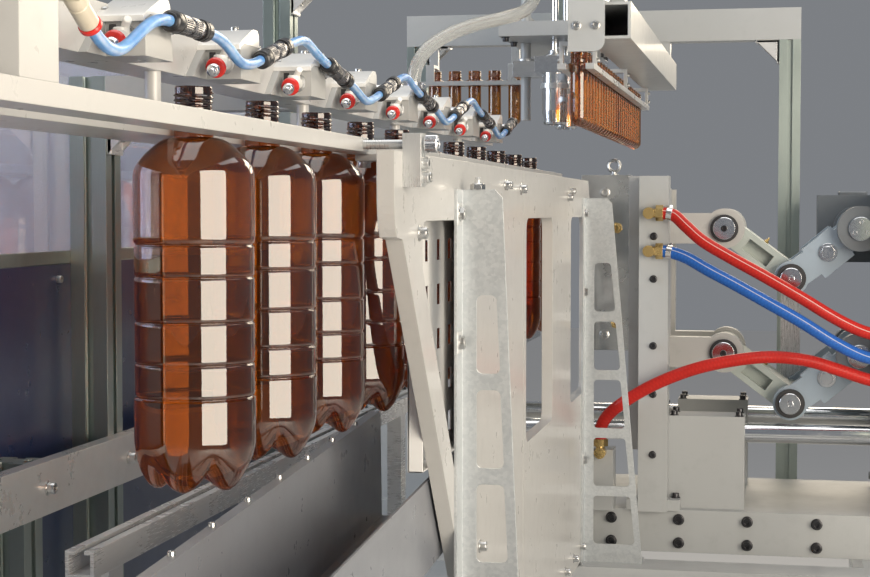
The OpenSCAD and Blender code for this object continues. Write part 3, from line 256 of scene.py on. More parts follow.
# Finishes of the machine's pieces
FINISH = {
    "base": paint("grey enamel, base frame", (0.42, 0.435, 0.44), 0.38),
    "warm": paint("pale warm enamel, rails and wall", (0.50, 0.495, 0.48), 0.30, coat=0.3),
    "lever": paint("blue-grey enamel, levers", (0.36, 0.44, 0.52), 0.33),
    "link": paint("grey-green enamel, links", (0.45, 0.50, 0.47), 0.36),
    "navy": paint("navy enamel, guard", (0.018, 0.028, 0.075), 0.30, 0.3),
    "gear": paint("dark grey enamel, gearboxes", (0.16, 0.18, 0.20), 0.40),
    "zinc": zinc("zinc plated sheet"),
    "steel": metal("brushed steel", (0.64, 0.65, 0.65), 0.28, (30, 1, 1), 0.25, 0.0006, 0.1, 0.65),
    "sheet": paint("satin grey sheet, chute", (0.20, 0.21, 0.235), 0.30, 0.35, 0.0006, 0.2),
    "slots": paint("light grey slotted sheet", (0.74, 0.74, 0.73), 0.36, 0.15, 0.0005),
    "chrome": metal("ground chrome", (0.80, 0.81, 0.83), 0.12, (4, 4, 4), 0.06, 0.0004, 0.15),
    "dark_chrome": metal("dark nickel", (0.22, 0.22, 0.235), 0.2, (2, 2, 2), 0.01, 0.0003),
    "alu": metal("milled aluminium", (0.72, 0.73, 0.74), 0.26, (1, 1, 24), 0.2, 0.0006, 0.08, 0.5),
    "mould": metal("machined mould aluminium", (0.54, 0.56, 0.57), 0.24, (1, 30, 1), 0.3),
    "profile": metal("anodised profile, grey-green", (0.40, 0.46, 0.44), 0.36, (30, 30, 1), 0.2),
    "cast": paint("dark cast iron, feet", (0.10, 0.105, 0.11), 0.5),
    "black": plastic("black moulded plastic", (0.018, 0.018, 0.02), 0.30, 0.3),
    "bush": plastic("black bushes", (0.03, 0.03, 0.033), 0.45, 0.1),
    "block": plastic("grey valve bodies", (0.40, 0.405, 0.40), 0.36, 0.2),
    "cap": plastic("white sloped caps", (0.76, 0.76, 0.74), 0.26, 0.4),
    "white": plastic("white collars", (0.80, 0.80, 0.77), 0.24, 0.4),
    "beige": plastic("beige elbows", (0.60, 0.54, 0.43), 0.30, 0.4),
    "red": plastic("red release rings", (0.62, 0.025, 0.018), 0.24, 0.4),
    "brass": metal("brass fittings", (0.72, 0.52, 0.22), 0.22, (8, 8, 8), 0.1),
    "amber": pet("amber PET", rgb(0.50, 0.115, 0.006), rgb(0.28, 0.052, 0.003), 0.97,
                 rgb(0.06, 0.012, 0.003)),
    "gold": pet("golden PET preforms", rgb(0.56, 0.23, 0.04), rgb(0.40, 0.135, 0.02), 0.95),
    "tube": air_tube_finish("light blue air tube"),
    "red_hose": hose_finish("red water hose", (0.55, 0.028, 0.022), 0.36),
    "blue_hose": hose_finish("blue water hose", (0.03, 0.14, 0.52), 0.34),
    "clear_hose": hose_finish("clear braided hose", (0.86, 0.87, 0.84), 0.12, 0.2, 0.75, 0.6),
    "clear": pet("clear guard sheet", rgb(0.82, 0.83, 0.93), rgb(0.76, 0.78, 0.90), 0.74),
    "screw": metal("zinc screws", (0.58, 0.58, 0.57), 0.24, (5, 5, 5), 0.1),
    "black_screw": metal("black screws", (0.07, 0.07, 0.075), 0.32, (5, 5, 5), 0.1),
}


def ring_faces(rings, n):
    """Faces between rings of n points that follow each other."""
    return [(j * n + i, j * n + (i + 1) % n, (j + 1) * n + (i + 1) % n, (j + 1) * n + i)
            for j in range(rings - 1) for i in range(n)]


def ring_cap(j, n):
    """The face that closes ring j."""
    return tuple(j * n + i for i in range(n))


def finished_mesh(name, verts, faces, finish, angle):
    mesh = bpy.data.meshes.new(name)
    mesh.from_pydata(verts, [], faces)
    mesh.validate()
    mesh.shade_smooth()
    mesh.set_sharp_from_angle(angle=radians(angle))
    mesh.materials.append(FINISH[finish])
    return mesh


def placed(name, mesh, body=ROOT, at=(0, FIRST, 0), spin=0.0):
    """A mesh as a piece of the scene, riding on a body."""
    o = bpy.data.objects.new(name, mesh)
    o.location = (at[0] / 1000, (at[1] - FIRST) / 1000, at[2] / 1000)
    o.rotation_euler = (0, 0, spin)
    scene.collection.objects.link(o)
    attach(o, body)
    return o


def bolt_circle(n, r, start=0):
    """Places of n screws on a circle."""
    turns = [radians(360 / n * i + start) for i in range(n)]
    return [(r * cos(t), r * sin(t)) for t in turns]


def disc(r, h, bore=0, lip=1.0, rise=0.8):
    """Profile of a turned disc or bush with broken edges."""
    return [(bore, 0), (r - lip, 0), (r, rise), (r, h - rise), (r - lip, h), (bore, h)]


class Shape:
    """Gathers solids in millimetres of the line and makes one piece of them."""

    def __init__(self):
        self.v, self.f, self.uv = [], [], {}

    def add(self, verts, faces):
        b = len(self.v)
        self.v += [tuple(p) for p in verts]
        self.f += [tuple(b + i for i in f) for f in faces]

    def box(self, x, y, z, c=0.7):
        """A block between two ends each way, with its edges cut back by c."""
        lo, hi = zip(*(sorted(v) for v in (x, y, z)))
        c = min(c, *(0.45 * (hi[i] - lo[i]) for i in range(3)))
        corners = list(product((0, 1), repeat=3))
        vs, at = [], {}
        for s in corners:
            p = [(lo, hi)[s[i]][i] for i in range(3)]
            for a in range(3):
                at[(*s, a)] = len(vs)
                vs.append([p[i] if i == a else p[i] + (-c if s[i] else c) for i in range(3)])
        fs = []
        for a in range(3):
            b, d = [i for i in range(3) if i != a]

            def point(s, u, w, m):
                k = [0, 0, 0]
                k[a], k[b], k[d] = s, u, w
                return at[(*k, m)]
            for s in (0, 1):
                loop = [point(s, u, w, a) for u, w in ((0, 0), (1, 0), (1, 1), (0, 1))]
                fs.append(loop if (s == 1) == (a != 1) else loop[::-1])
            for u, w in product((0, 1), repeat=2):
                fs.append([point(s, u, w, m) for s, m in ((0, b), (1, b), (1, d), (0, d))])
        self.add(vs, fs + [[at[(*s, a)] for a in range(3)] for s in corners])

    def loft(self, rows, at, axis, n, foot=True, top=True):
        """Rings round axis, each a height with one radius or a list of n radii."""
        w = Vector(axis).normalized()
        u = w.orthogonal().normalized()
        t = w.cross(u)
        at = Vector(at)
        vs = []
        for r, h in rows:
            for i in range(n):
                a = TURN * i / n
                out = r[i] if isinstance(r, list) else r
                vs.append(at + w * h + (u * cos(a) + t * sin(a)) * out)
        fs = ring_faces(len(rows), n)
        if foot:
            fs.append(ring_cap(0, n)[::-1])
        if top:
            fs.append(ring_cap(len(rows) - 1, n))
        self.add(vs, fs)

    def lathe(self, prof, at, axis=Z, n=28, closed=True):
        """A turned body: prof is (radius, distance along axis) from at."""
        self.loft(prof, at, axis, n, closed and prof[0][0] > 0, closed and prof[-1][0] > 0)

    def rod(self, r, at, axis, length, c=0.5, n=28):
        c = min(c, r * 0.5, length * 0.45)
        self.lathe([(r - c, 0), (r, c), (r, length - c), (r - c, length)], at, axis, n)

    def prism(self, outline, at, axis, u, depth):
        """An outline of (u, v) points pushed along axis from at."""
        w, u = Vector(axis).normalized(), Vector(u).normalized()
        t = w.cross(u)
        at = Vector(at)
        n = len(outline)
        vs = [at + u * p[0] + t * p[1] + w * h for h in (0, depth) for p in outline]
        fs = [tuple(range(n))[::-1], tuple(range(n, 2 * n))]
        self.add(vs, fs + [(i, (i + 1) % n, (i + 1) % n + n, i + n) for i in range(n)])

    def hexagon(self, flats, at, axis, h, spin=0.0):
        """A hexagon head or nut, chamfered on top."""
        r = flats / sqrt(3)
        turns = [radians(60 * i) + spin for i in range(6)]
        u = Vector(axis).orthogonal()
        self.prism([(r * cos(a), r * sin(a)) for a in turns], at, axis, u, h * 0.86)
        self.lathe([(flats * 0.5, h * 0.8), (flats * 0.44, h)], at, axis, 18)

    def washer(self, d, at, w, top, bore):
        self.lathe([(d * 1.05, 0), (d * 1.05, d * 0.14), (d * 0.98, d * top), (d * bore, d * top)],
                   at, w, 24)

    def cap_screw(self, d, at, axis, washer=True):
        """Socket head screw: chamfered head, open hexagon socket, washer under it."""
        w = Vector(axis).normalized()
        at = Vector(at)
        if washer:
            self.washer(d, at, w, 0.18, 0.5)
            at = at + w * d * 0.16
        head, tall, key, n = d * 0.78, d * 0.95, d * 0.44, 24

        def socket(r):
            sixth = pi / 3
            return [r / cos((TURN * i / n + sixth / 2) % sixth - sixth / 2) * 0.94
                    for i in range(n)]
        self.loft([(head, 0), (head, tall * 0.88), (head * 0.93, tall), (socket(key * 1.04), tall),
                   (socket(key), tall * 0.96), (socket(key), tall * 0.4)], at, w, n, foot=False)

    def hex_screw(self, d, at, axis, spin=0.3):
        w = Vector(axis).normalized()
        self.washer(d, at, w, 0.2, 0.4)
        self.hexagon(d * 1.65, Vector(at) + w * d * 0.18, w, d * 0.66, spin)

    def knurl(self, r, at, axis, length, teeth=32, depth=0.35, c=1.0):
        """A grip with straight flutes and turned ends."""
        n = teeth * 2
        fluted = [r - (depth if i % 2 else 0) for i in range(n)]
        self.loft([(r - c, 0), (fluted, c), (fluted, length - c), (r - c, length)], at, axis, n)

    def sweep(self, pts, r, n=16, caps=True):
        """A round tube along points, with a uv map of turns round and metres along."""
        pts = [Vector(p) for p in pts]
        last = len(pts) - 1
        course = [(pts[min(i + 1, last)] - pts[max(i - 1, 0)]).normalized()
                  for i in range(last + 1)]
        u = course[0].orthogonal().normalized()
        base = len(self.v)
        dist = 0.0
        vs, step = [], n + 1
        for i, p in enumerate(pts):
            if i:
                dist += (p - pts[i - 1]).length
            u = (u - course[i] * u.dot(course[i])).normalized()
            w = course[i].cross(u)
            for k in range(step):
                a = TURN * k / n
                vs.append(p + (u * cos(a) + w * sin(a)) * r)
                self.uv[base + len(vs) - 1] = (k / n, dist / 1000)
        fs = [(a, a + 1, a + step + 1, a + step)
              for i in range(last) for a in range(i * step, i * step + n)]
        if caps:
            fs += [range(n)[::-1], range(last * step, last * step + n)]
        self.add(vs, fs)

    def eye(self, at, u, r, wire):
        """The ring of an eyebolt, upright and along u."""
        turns = [TURN * i / 24 for i in range(25)]
        self.sweep([(at[0] + u[0] * r * cos(t), at[1] + u[1] * r * cos(t), at[2] + r * sin(t))
                    for t in turns], wire, 10, False)

    def piece(self, name, finish, slot, body=ROOT, angle=32):
        verts = [(x / 1000, (y - FIRST) / 1000, z / 1000) for x, y, z in self.v]
        mesh = finished_mesh(name, verts, self.f, finish, angle)
        if self.uv:
            layer = mesh.uv_layers.new(name="along")
            for loop in mesh.loops:
                layer.data[loop.index].uv = self.uv.get(loop.vertex_index, (0, 0))
        return placed(name, mesh, body)


def smooth_path(pts, per=8):
    """A Catmull-Rom line through the points, with its end points kept."""
    p = [Vector(q) for q in pts]
    ext = [p[0] * 2 - p[1]] + p + [p[-1] * 2 - p[-2]]
    out = []
    for i in range(1, len(ext) - 2):
        a, b, c, d = ext[i - 1:i + 3]
        for k in range(per):
            t = k / per
            out.append(0.5 * ((2 * b) + (c - a) * t + (2 * a - 5 * b + 4 * c - d) * t * t
                              + (3 * b - a - 3 * c + d) * t ** 3))
    return out + [p[-1]]


def bezier(a, b, c, d, n=30):
    steps = [i / n for i in range(n + 1)]
    return [a * (1 - t) ** 3 + b * 3 * t * (1 - t) ** 2 + c * 3 * t * t * (1 - t) + d * t ** 3
            for t in steps]


# Camera, where the photograph was taken from
camera = bpy.data.cameras.new("camera")
camera.sensor_width = 36
camera.lens = 70.34
camera.clip_start = 0.02
camera.clip_end = 60
cam = bpy.data.objects.new("camera", camera)
cam.location = (0.3884, -2.011, 1.100)
cam.rotation_euler = (radians(90 - 2.58), 0, radians(11.54))
scene.collection.objects.link(cam)
scene.camera = cam

# Hoses: finish, diameter and route
HOSES = {
    "red_hose_upper": ("red_hose", 20, [
        (198, 1700, 1098), (216, 1698, 1094), (236, 1692, 1076), (264, 1686, 1052),
        (308, 1684, 1026), (362, 1686, 996), (420, 1694, 962), (468, 1708, 932), (506, 1724, 912),
        (532, 1736, 903), (552, 1738, 902)]),
    "blue_hose": ("blue_hose", 20, [
        (198, 1700, 1036), (216, 1698, 1033), (240, 1692, 1024), (272, 1684, 1006),
        (314, 1680, 984), (364, 1682, 956), (418, 1690, 925), (466, 1704, 894), (506, 1722, 872),
        (532, 1736, 863), (552, 1738, 862)]),
    "red_hose_lower": ("red_hose", 20, [
        (97, 1700, 726), (98, 1699, 744), (112, 1692, 768), (144, 1684, 794), (192, 1680, 822),
        (252, 1682, 846), (312, 1688, 860), (372, 1698, 866), (430, 1710, 860), (482, 1724, 844),
        (526, 1736, 829), (552, 1738, 826)]),
    "clear_hose": ("clear_hose", 18, [
        (-80, 1066, 1252), (-80, 1066, 1270), (-76, 1072, 1292), (-64, 1088, 1314),
        (-42, 1118, 1334), (-14, 1156, 1350), (14, 1196, 1362), (36, 1232, 1374),
        (46, 1260, 1390), (48, 1269, 1404), (48, 1270, 1416)]),
}
for name, (finish, d, route) in HOSES.items():
    line = smooth_path(route)
    skin = Shape()
    skin.sweep(line, d / 2, 20)
    o = skin.piece(name + "_skin", finish, finish)
    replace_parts(o, name)
    length = sum((b - a).length for a, b in zip(line, line[1:]))
    bands = Shape()
    for end, inward in ((0, 6), (-1, -7)):
        w = (line[inward] - line[end]).normalized()
        at = line[end] + w * 6
        side = w.orthogonal().normalized()
        screw = w.cross(side)
        r = d / 2
        bands.lathe([(r - 0.4, 0), (r + 0.9, 0), (r + 0.9, 9), (r - 0.4, 9)], at, w, 32)
        bands.rod(3.2, at + w * 4.5 + side * (r + 2.6) - screw * 6, screw, 12, n=16)
    bands.piece(name + "_clamps", "chrome", "brass")

# Bottles and preforms, turned about z from their neck rings down
THREAD_PITCH = 3.4
BOTTLE_R = 41.0
BOTTLE_SIDES = 80
GROOVES = (85, 106.5, 136.5, 164.5, 187)
GROOVE_W, GROOVE_DEPTH = 1.5, 1.1
FOOT_Z = -218
LIP = [(10.9, -9), (10.9, 18.5), (11.3, 20.4), (12.0, 20.9)]
SCREW_NECK = [(12.6, 20.5)] + [(12.55, 20.0 - 0.55 * i) for i in range(1, 28)]
NECK_RING = [(12.7, 4.8), (12.9, 3.6), (16.2, 3.0), (16.5, 2.5), (16.5, 0.7), (16.2, 0.2),
             (13.4, 0.1), (13.2, -1.5), (13.3, -13)]
SHOULDER = [(14.6, -13.25), (17, -13.6), (20, -14.5), (23, -16), (26, -18.2), (29, -20.9),
            (32, -23.8), (34.7, -26.5), (36.8, -28.8), (38.5, -31), (39.7, -33.2), (40.5, -35.8),
            (40.9, -38.8), (41, -42)]
FOOT = [(40.9, FOOT_Z), (40.4, -224), (39.2, -230.5), (37.2, -236.8), (34.4, -242.4),
        (31.2, -246.8), (28.2, -249.2), (26, -249.9), (23.6, -249.6), (21, -248.2), (18, -245.8),
        (14.5, -243.6), (10, -242.2), (5, -241.6), (0.4, -241.4)]
PREFORM_R = 12.5
PREFORM = [(9.6, -20), (9.6, 18.0), (10.2, 20.4), (11.8, 20.6)]
PREFORM += [(12.0, 19.6 - 0.8 * i) for i in range(19)]
PREFORM += [(12.2, 3.6), (16.3, 2.4), (16.5, 1.6), (16.5, 0.5), (16.2, 0.1), (12.6, 0), (12.4, -6),
            (PREFORM_R, -10), (PREFORM_R, -70)]
PREFORM += [(PREFORM_R * cos(a), -71.5 - PREFORM_R * sin(a))
            for a in map(radians, (12, 26, 40, 54, 68, 80, 89))]


def thread(z, turn, top, turns):
    """How far a rounded screw thread stands out at z, turned by turn (0 to 1)."""
    x = (top - z) / THREAD_PITCH - turn
    if x < 0 or x > turns:
        return 0.0
    ease = min(1.0, x * 4, (turns - x) * 4)
    return 1.15 * ease * max(0.0, 1 - abs(x % 1.0 - 0.5) * 4.2) ** 0.6


def bottle_wall():
    """The straight wall with its grooves, as (radius, z)."""
    zs = [-47, -52, -58, -65, -72, -79]
    for g in GROOVES:
        zs += [-g + d for d in (3.4, 1.5, 1.0, 0.6, 0.3, 0, -0.3, -0.6, -1.0, -1.5, -3.4)]
    wall = []
    for z in zs + [-193, -200, -207, -214]:
        r = 40.4 if -188.5 < z < -83 else BOTTLE_R
        near = min(abs(-z - g) for g in GROOVES)
        if near < GROOVE_W:
            r = r - GROOVE_DEPTH * (0.5 + 0.5 * cos(pi * near / GROOVE_W))
        wall.append((r, z))
    return wall


def bottle_point(r, z, a, turn):
    """The thread on the neck and the five feet."""
    if 3.9 < z < 20.2 and 12.4 < r < 12.8:
        r += thread(z, turn, 18.6, 2.6)
    if z > FOOT_Z:
        return r, z
    foot = (0.5 + 0.5 * cos(5 * (a + pi / 2))) ** 0.5
    valley = FOOT_Z - 25.5 * sqrt(1 - (r / BOTTLE_R) ** 2)
    return (r * (1 - 0.02 * (1 - foot) * sin(pi * (r / BOTTLE_R))),
            z * foot + valley * (1 - foot))


def preform_point(r, z, a, turn):
    return r + (thread(z, turn, 17.4, 2.4) if 4.2 < z < 19.7 and r == 12.0 else 0), z


def turned_mesh(name, rows, n, point, finish):
    """A mesh of rings; point gives the radius and height of each of a ring's points."""
    verts = []
    for row in rows:
        for i in range(n):
            a = TURN * i / n
            r, z = point(*row, a, i / n)
            verts.append((r / 1000 * cos(a), r / 1000 * sin(a), z / 1000))
    faces = [f[:1] + f[:0:-1] for f in ring_faces(len(rows), n)] + [ring_cap(len(rows) - 1, n)]
    return finished_mesh(name, verts, faces, finish, 60)


bottle = turned_mesh("bottle", LIP + SCREW_NECK + NECK_RING + SHOULDER + bottle_wall() + FOOT,
                     BOTTLE_SIDES, bottle_point, "amber")
for i in range(BOTTLES):
    o = placed("bottle_%02d" % i, bottle, at=(0, PITCH * i, NECK + 0.1),
               spin=radians(72 * (i * 3 % 5)))
    if i == 0:
        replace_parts(o, "bottles")

preform = turned_mesh("preform", PREFORM, 32, preform_point, "gold")
PREFORM_PITCH = 39.06
for i in range(PREFORMS):
    o = placed("preform_%02d" % i, preform,
               at=(110, 1275 + PREFORM_PITCH * i, NECK + 140.1), spin=1.3 * i)
    if i == 0:
        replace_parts(o, "preforms")
for i in range(5):
    placed("preform_cross_%d" % i, preform,
           at=(-275 + PREFORM_PITCH * i, 2160, NECK + 188.1), spin=2.1 * i)

# Valve line: a block, its push-in fitting, a coupling on its stem and the tube to the next one
BLOCKS = [-12 + 202.5 * i for i in range(8)]
TILTS = [0, 14, -8, 14, -8, 14, -8, 14]     # how far each coupling leans, in degrees
BLOCK_X, LINE_X, BEAM_X = -40.0, -17.0, -60
LINE_Z = BEAM + 25
TUBE_R = 4.0
SLOPE = radians(112)
SPIGOT = Vector((0, -sin(SLOPE), cos(SLOPE)))
CAP_EDGE = ((-12.5, 22.5), (-9.4, 22.5), (-9.4, 24.4), (0, 28), (38.5, 28), (38.5, 33), (37.5, 38),
            (34, 41.4), (24, 41.4), (20, 40.6), (-8.5, 28.8), (-12.5, 26.2))
COLLET = [(5.4, 0), (6.0, 0.8), (6.0, 6.4), (5.6, 7.0), (5.6, 8.2), (6.0, 8.8), (6.0, 10),
          (4.2, 10)]
RELEASE_RING = [(4.5, 10.4), (7.2, 10.4), (8.0, 11.0), (8.0, 13.6), (7.4, 14.6), (5.2, 14.9),
                (4.5, 14.9), (4.5, 10.4)]
PLUG = [(4.0, 10), (4.0, 15.4), (5.0, 15.6), (5.0, 20.4), (4.6, 21.2), (3.1, 21.8), (2.4, 24.2),
        (0, 24.3)]
SOCKET = [(4.1, 0), (6.4, 0), (7.4, 1.0), (7.75, 2.6), (7.75, 9.4), (7.2, 10.1), (7.2, 11.4),
          (7.75, 12), (7.6, 14), (5.0, 14)]
ELBOW = [(4.1, 0), (6.0, 0), (6.5, 0.6), (6.5, 18), (5.9, 18.6), (5.9, 20.2), (6.5, 20.8),
         (6.5, 34), (6.0, 35)]
ELBOW_RING = [(4.3, 0.3), (6.4, 0.3), (7.3, 1.0), (7.3, 3.2), (6.4, 4.2), (4.3, 4.3), (4.3, 0.3)]


def coupling(i):
    """Middle and direction of a coupling."""
    a = radians(TILTS[i])
    return Vector((LINE_X, BLOCKS[i] + 50, LINE_Z)), Vector((0, cos(a), sin(a)))


caps, fittings, rings, tips, sockets = (Shape() for _ in range(5))
barrels, stems, tubes, screws, slot_shades = (Shape() for _ in range(5))
for i, y in enumerate(BLOCKS):
    caps.prism([(y + dy, BEAM + dz) for dy, dz in CAP_EDGE], (-60.4, 0, 0), X, Y, 34.8)
    fy, fz = y - 2.3, BEAM + 12
    throat = (BLOCK_X, fy - 13, fz)
    fittings.lathe([(4.6, 0), (5.4, 0.6), (5.5, 12.6), (5.0, 13)], (BLOCK_X, fy, fz), FRONT, 24)
    fittings.lathe([(5.0, -5), (5.6, -4.4), (5.6, 5.4), (5.0, 6)], throat, Z, 24)
    fittings.lathe(COLLET, throat, SPIGOT)
    rings.lathe(RELEASE_RING, throat, SPIGOT, 32, False)
    tips.lathe(PLUG, throat, SPIGOT)
    tips.lathe([(5.6, 0), (8.0, 0.1), (8.2, 0.8), (8.2, 2.0), (5.6, 2.0)], (BLOCK_X, fy - 1.6, fz),
               FRONT, 30)
    fittings.rod(3.0, (BLOCK_X, fy - 9, fz + 4), (0.497, -0.709, 0.5), 14, 0.6, 18)
    mid, w = coupling(i)
    for end in (-1, 1):
        sockets.lathe(SOCKET, mid + w * end * 36, w * -end, 36)
        sockets.lathe([(4.1, -1.6), (5.6, -1.6), (6.1, -0.9), (6.1, 0), (4.1, 0)],
                      mid + w * end * 36, w * -end)
    barrels.knurl(7.0, mid - w * 22, w, 16.5, 30, 0.45, 0.8)
    barrels.lathe([(5.8, 0), (5.8, 8)], mid - w * 6, w, 24)
    barrels.knurl(7.0, mid + w * 1.5, w, 12.5, 30, 0.45, 0.8)
    barrels.lathe([(6.2, 0), (7.0, 0.6), (7.0, 7), (6.4, 8)], mid + w * 14, w)
    stems.lathe([(4.0, 0), (4.0, 36)], (BEAM_X, y + 50, LINE_Z), X, 20)
    stems.hexagon(13, (BEAM_X, y + 50, LINE_Z), X, 5)
    stems.lathe([(4.6, 0), (5.6, 0.4), (5.6, 4.6), (4.6, 5)], (-33, y + 50, LINE_Z), X, 20)
    screws.cap_screw(4, (-43, y + 28.5, BEAM + 40.4), Z, False)
    for dz in (8, 20):
        screws.cap_screw(3, (-57, y - 8, BEAM + dz * 0.7), FRONT, False)
    # a black box in each block's slot: painted shade standing for the dark recess
    slot_shades.box((-51.6, -46.4), (y - 8.4, y - 3.2), (BEAM + 6.2, BEAM + 21), 0.2)
    if i + 1 < len(BLOCKS):
        start = mid + w * 30
        mid2, w2 = coupling(i + 1)
        end = mid2 - w2 * 30
        a, b = start + w * 7, end - w2 * 7
        tubes.sweep([start] + bezier(a, a + w * 76, b - w2 * 76, b) + [end], TUBE_R, 20)

# The elbow that feeds the line, and its tube
fall = radians(30)
w = Vector((0, cos(fall), -sin(fall)))
mouth = Vector((LINE_X, -135, BEAM + 8.6))
bend = mouth - w * 34
elbow = Shape()
elbow.lathe(ELBOW, mouth, -w, 32)
elbow.lathe([(6.2, -7), (7.0, -6.2), (7.0, 6.2), (6.2, 7)], bend, Z, 32)
elbow.lathe([(5.0, 0), (5.0, 36), (6.4, 36.2), (6.4, 41)], (BEAM_X, bend.y, bend.z), X, 24)
elbow.hexagon(14, (BEAM_X, bend.y, bend.z), X, 6)
rings.lathe(ELBOW_RING, mouth, w, 32, False)
end = Vector((LINE_X, BLOCKS[0] + 20, LINE_Z))
a, b = mouth + w * 4, end - Vector((0, 7, 0))
tubes.sweep([mouth - w * 3] + bezier(a, a + w * 62, b - Vector((0, 62, 0)), b) + [end], TUBE_R, 20)

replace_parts(fittings.piece("push_fitting_bodies", "white", "beige_plastic"), "block_fittings")
elbow.piece("feed_elbow", "beige", "beige_plastic")
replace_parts(rings.piece("red_release_rings", "red", "red_plastic"), "release_rings")
tips.piece("fitting_tips", "chrome", "chrome")
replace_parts(sockets.piece("coupling_sockets", "black", "black_plastic"), "coupling_collars")
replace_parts(barrels.piece("coupling_barrels", "dark_chrome", "chrome"), "coupling_bodies")
stems.piece("coupling_stems", "chrome", "chrome")
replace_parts(tubes.piece("air_tubes", "tube", "blue_tube", angle=60), "tube_links")
screws.piece("block_screws", "screw", "steel")
# black boxes painted as the shade inside the blocks' slots
slot_shades.piece("block_slot_shades", "black", "black_plastic")
caps.piece("block_caps", "cap", "beige_plastic")

# Finishes of the solids that stay as they are
SOLIDS = {
    "base": ["side_rails", "cross_rails", "legs", "wall_sill", "gantry_arms", "overhead_beam",
             "head_plate", "manifold_blocks", "clamp_bed"],
    "warm": ["wall_plate_front", "wall_plate_rear", "near_rail", "far_rail", "rail_brackets",
             "upper_beam", "platen_right", "platen_left"],
    "zinc": ["gusset_front", "gusset_rear"],
    "sheet": ["discharge_chute"],
    "steel": ["rail_clamp", "rear_rail", "preform_rails", "tie_bar_right", "tie_bar_left"],
    "chrome": ["guide_bars", "nozzle_carriage", "stretch_rods"],
    "alu": ["guide_profile"],
    "block": ["valve_blocks"],
    "cast": ["levelling_feet"],
    "brass": ["hose_fittings"],
    "navy": ["guard_panel"],
    "gear": ["toggle_anchors", "drive_units"],
    "mould": ["mould_half_right", "mould_half_left"],
    "link": ["front_link_%s_%s" % (h, s) for h in ("upper", "lower") for s in ("right", "left")],
    "lever": ["rear_lever_%s_%s" % (h, s) for h in ("upper", "lower") for s in ("right", "left")],
}
for finish, nodes in SOLIDS.items():
    for node in nodes:
        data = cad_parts[node].data
        data.materials.clear()
        data.materials.append(FINISH[finish])
        for face in data.polygons:
            face.material_index = 0


def slotted_plate(shape, x, ys, zs, slots_y, slots_z):
    """A plate across x with square slots, as one closed skin."""
    ya = sorted({*ys, *(v for h in slots_y for v in h)})
    za = sorted({*zs, *(v for h in slots_z for v in h)})
    cells = [(i, j) for i, j in product(range(len(ya) - 1), range(len(za) - 1))
             if (ya[i], ya[i + 1]) not in slots_y or (za[j], za[j + 1]) not in slots_z]

    def point(side, corner):
        return (side * len(ya) + corner[0]) * len(za) + corner[1]

    faces = []
    for i, j in cells:
        loop = [(i, j), (i + 1, j), (i + 1, j + 1), (i, j + 1)]
        beside = [(i, j - 1), (i + 1, j), (i, j + 1), (i - 1, j)]
        faces.append([point(1, c) for c in loop])
        faces.append([point(0, c) for c in loop[::-1]])
        for a, b, cell in zip(loop, loop[1:] + loop[:1], beside):
            if cell not in cells:
                faces.append([point(0, a), point(0, b), point(1, b), point(1, a)])
    shape.add([(v, y, z) for v in x for y in ya for z in za], faces)


# Slotted sheet with turned edges
SLOT_Z = NECK - 101
SHEET_FACE, SHEET_T = 48, 1.4
SHEET_Y, SHEET_Z = (455, 880), (SLOT_Z - 206, SLOT_Z + 48)
EDGE_X = (46.7, 61)
sheet = Shape()
slotted_plate(sheet, (SHEET_FACE - SHEET_T, SHEET_FACE), SHEET_Y, SHEET_Z,
              [(470 + 58 * i, 488 + 58 * i) for i in range(7)],
              [(SLOT_Z - 45 * k - 10.5, SLOT_Z - 45 * k + 10.5) for k in range(5)])
for y in (SHEET_Y[0] + SHEET_T / 2, SHEET_Y[1] - SHEET_T / 2):
    sheet.box(EDGE_X, (y - SHEET_T / 2, y + SHEET_T / 2), SHEET_Z, 0.3)
for z in (SHEET_Z[0] + SHEET_T / 2, SHEET_Z[1] - SHEET_T / 2):
    sheet.box(EDGE_X, SHEET_Y, (z - SHEET_T / 2, z + SHEET_T / 2), 0.3)
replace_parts(sheet.piece("slotted_panel", "slots", "base_paint"), "slotted_sheet")

# Posts of slotted profile: a quarter of the section, turned three times
section, quarter = [], [(20, 4.6), (20, 20), (4.6, 20), (4.6, 17.6), (8.6, 17.6), (8.6, 15.4),
                        (5.4, 12.2), (-5.4, 12.2), (-8.6, 15.4), (-8.6, 17.6), (-4.6, 17.6)]
for _ in range(4):
    section += quarter
    quarter = [(-y, x) for x, y in quarter]
TOPS = (BEAM + 37, NECK - 297, BEAM + 37, ARM, ARM)
POSTS = [(POST_X, y, top) for y, top in zip(POST_Y, TOPS)] + [(560, 1270, ARM), (400, 2220, ARM)]
posts = Shape()
for x, y, top in POSTS:
    posts.prism(section, (x, y, BASE), Z, X, top - BASE)
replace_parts(posts.piece("profile_posts", "profile", "green_grey"), "gantry_posts")

# Screws and studs of the rails, the wall and the beam
BRACKET_Y = (385.0, 847.0, 1463.0)
PEG_Y = (-300, 100, 500, 900, 1300)
HANGER_Y = -329
RAIL_CLAMP_Y = 312
screws, seams_and_socket_shade, studs = Shape(), Shape(), Shape()
for y in BRACKET_Y:
    for dy in (-7, 7):
        screws.cap_screw(6, (WALL, y + dy, RAIL - 20), X)
        screws.cap_screw(5, (23, y + dy, RAIL - 6), DOWN)
for y, z in ((368.6, 1081.5), (676, 745), (760, 564), (850, 564), (940, 564), (960, 1128),
             (1430, 1122)):
    screws.cap_screw(7, (WALL, y, z), X)
for y in range(1010, 1730, 100):
    screws.cap_screw(7, (WALL, y, 564), X)
for y in (545, 1619):
    for z in (24, 150, 420):
        screws.hex_screw(7, (WALL + 3, y, SEAT - z), X, 0.2 + z)
        studs.box((76.2, 79.6), (y - 11, y + 11), (SEAT - 11 - z, SEAT + 11 - z), 0.4)
    for x in (96, 128):
        screws.hex_screw(8, (x, y + 45, BASE + 3), Z, x)
studs.lathe([(3, 0), (3, 11), (2.4, 12)], (94, 561.5, SEAT), Z, 20)
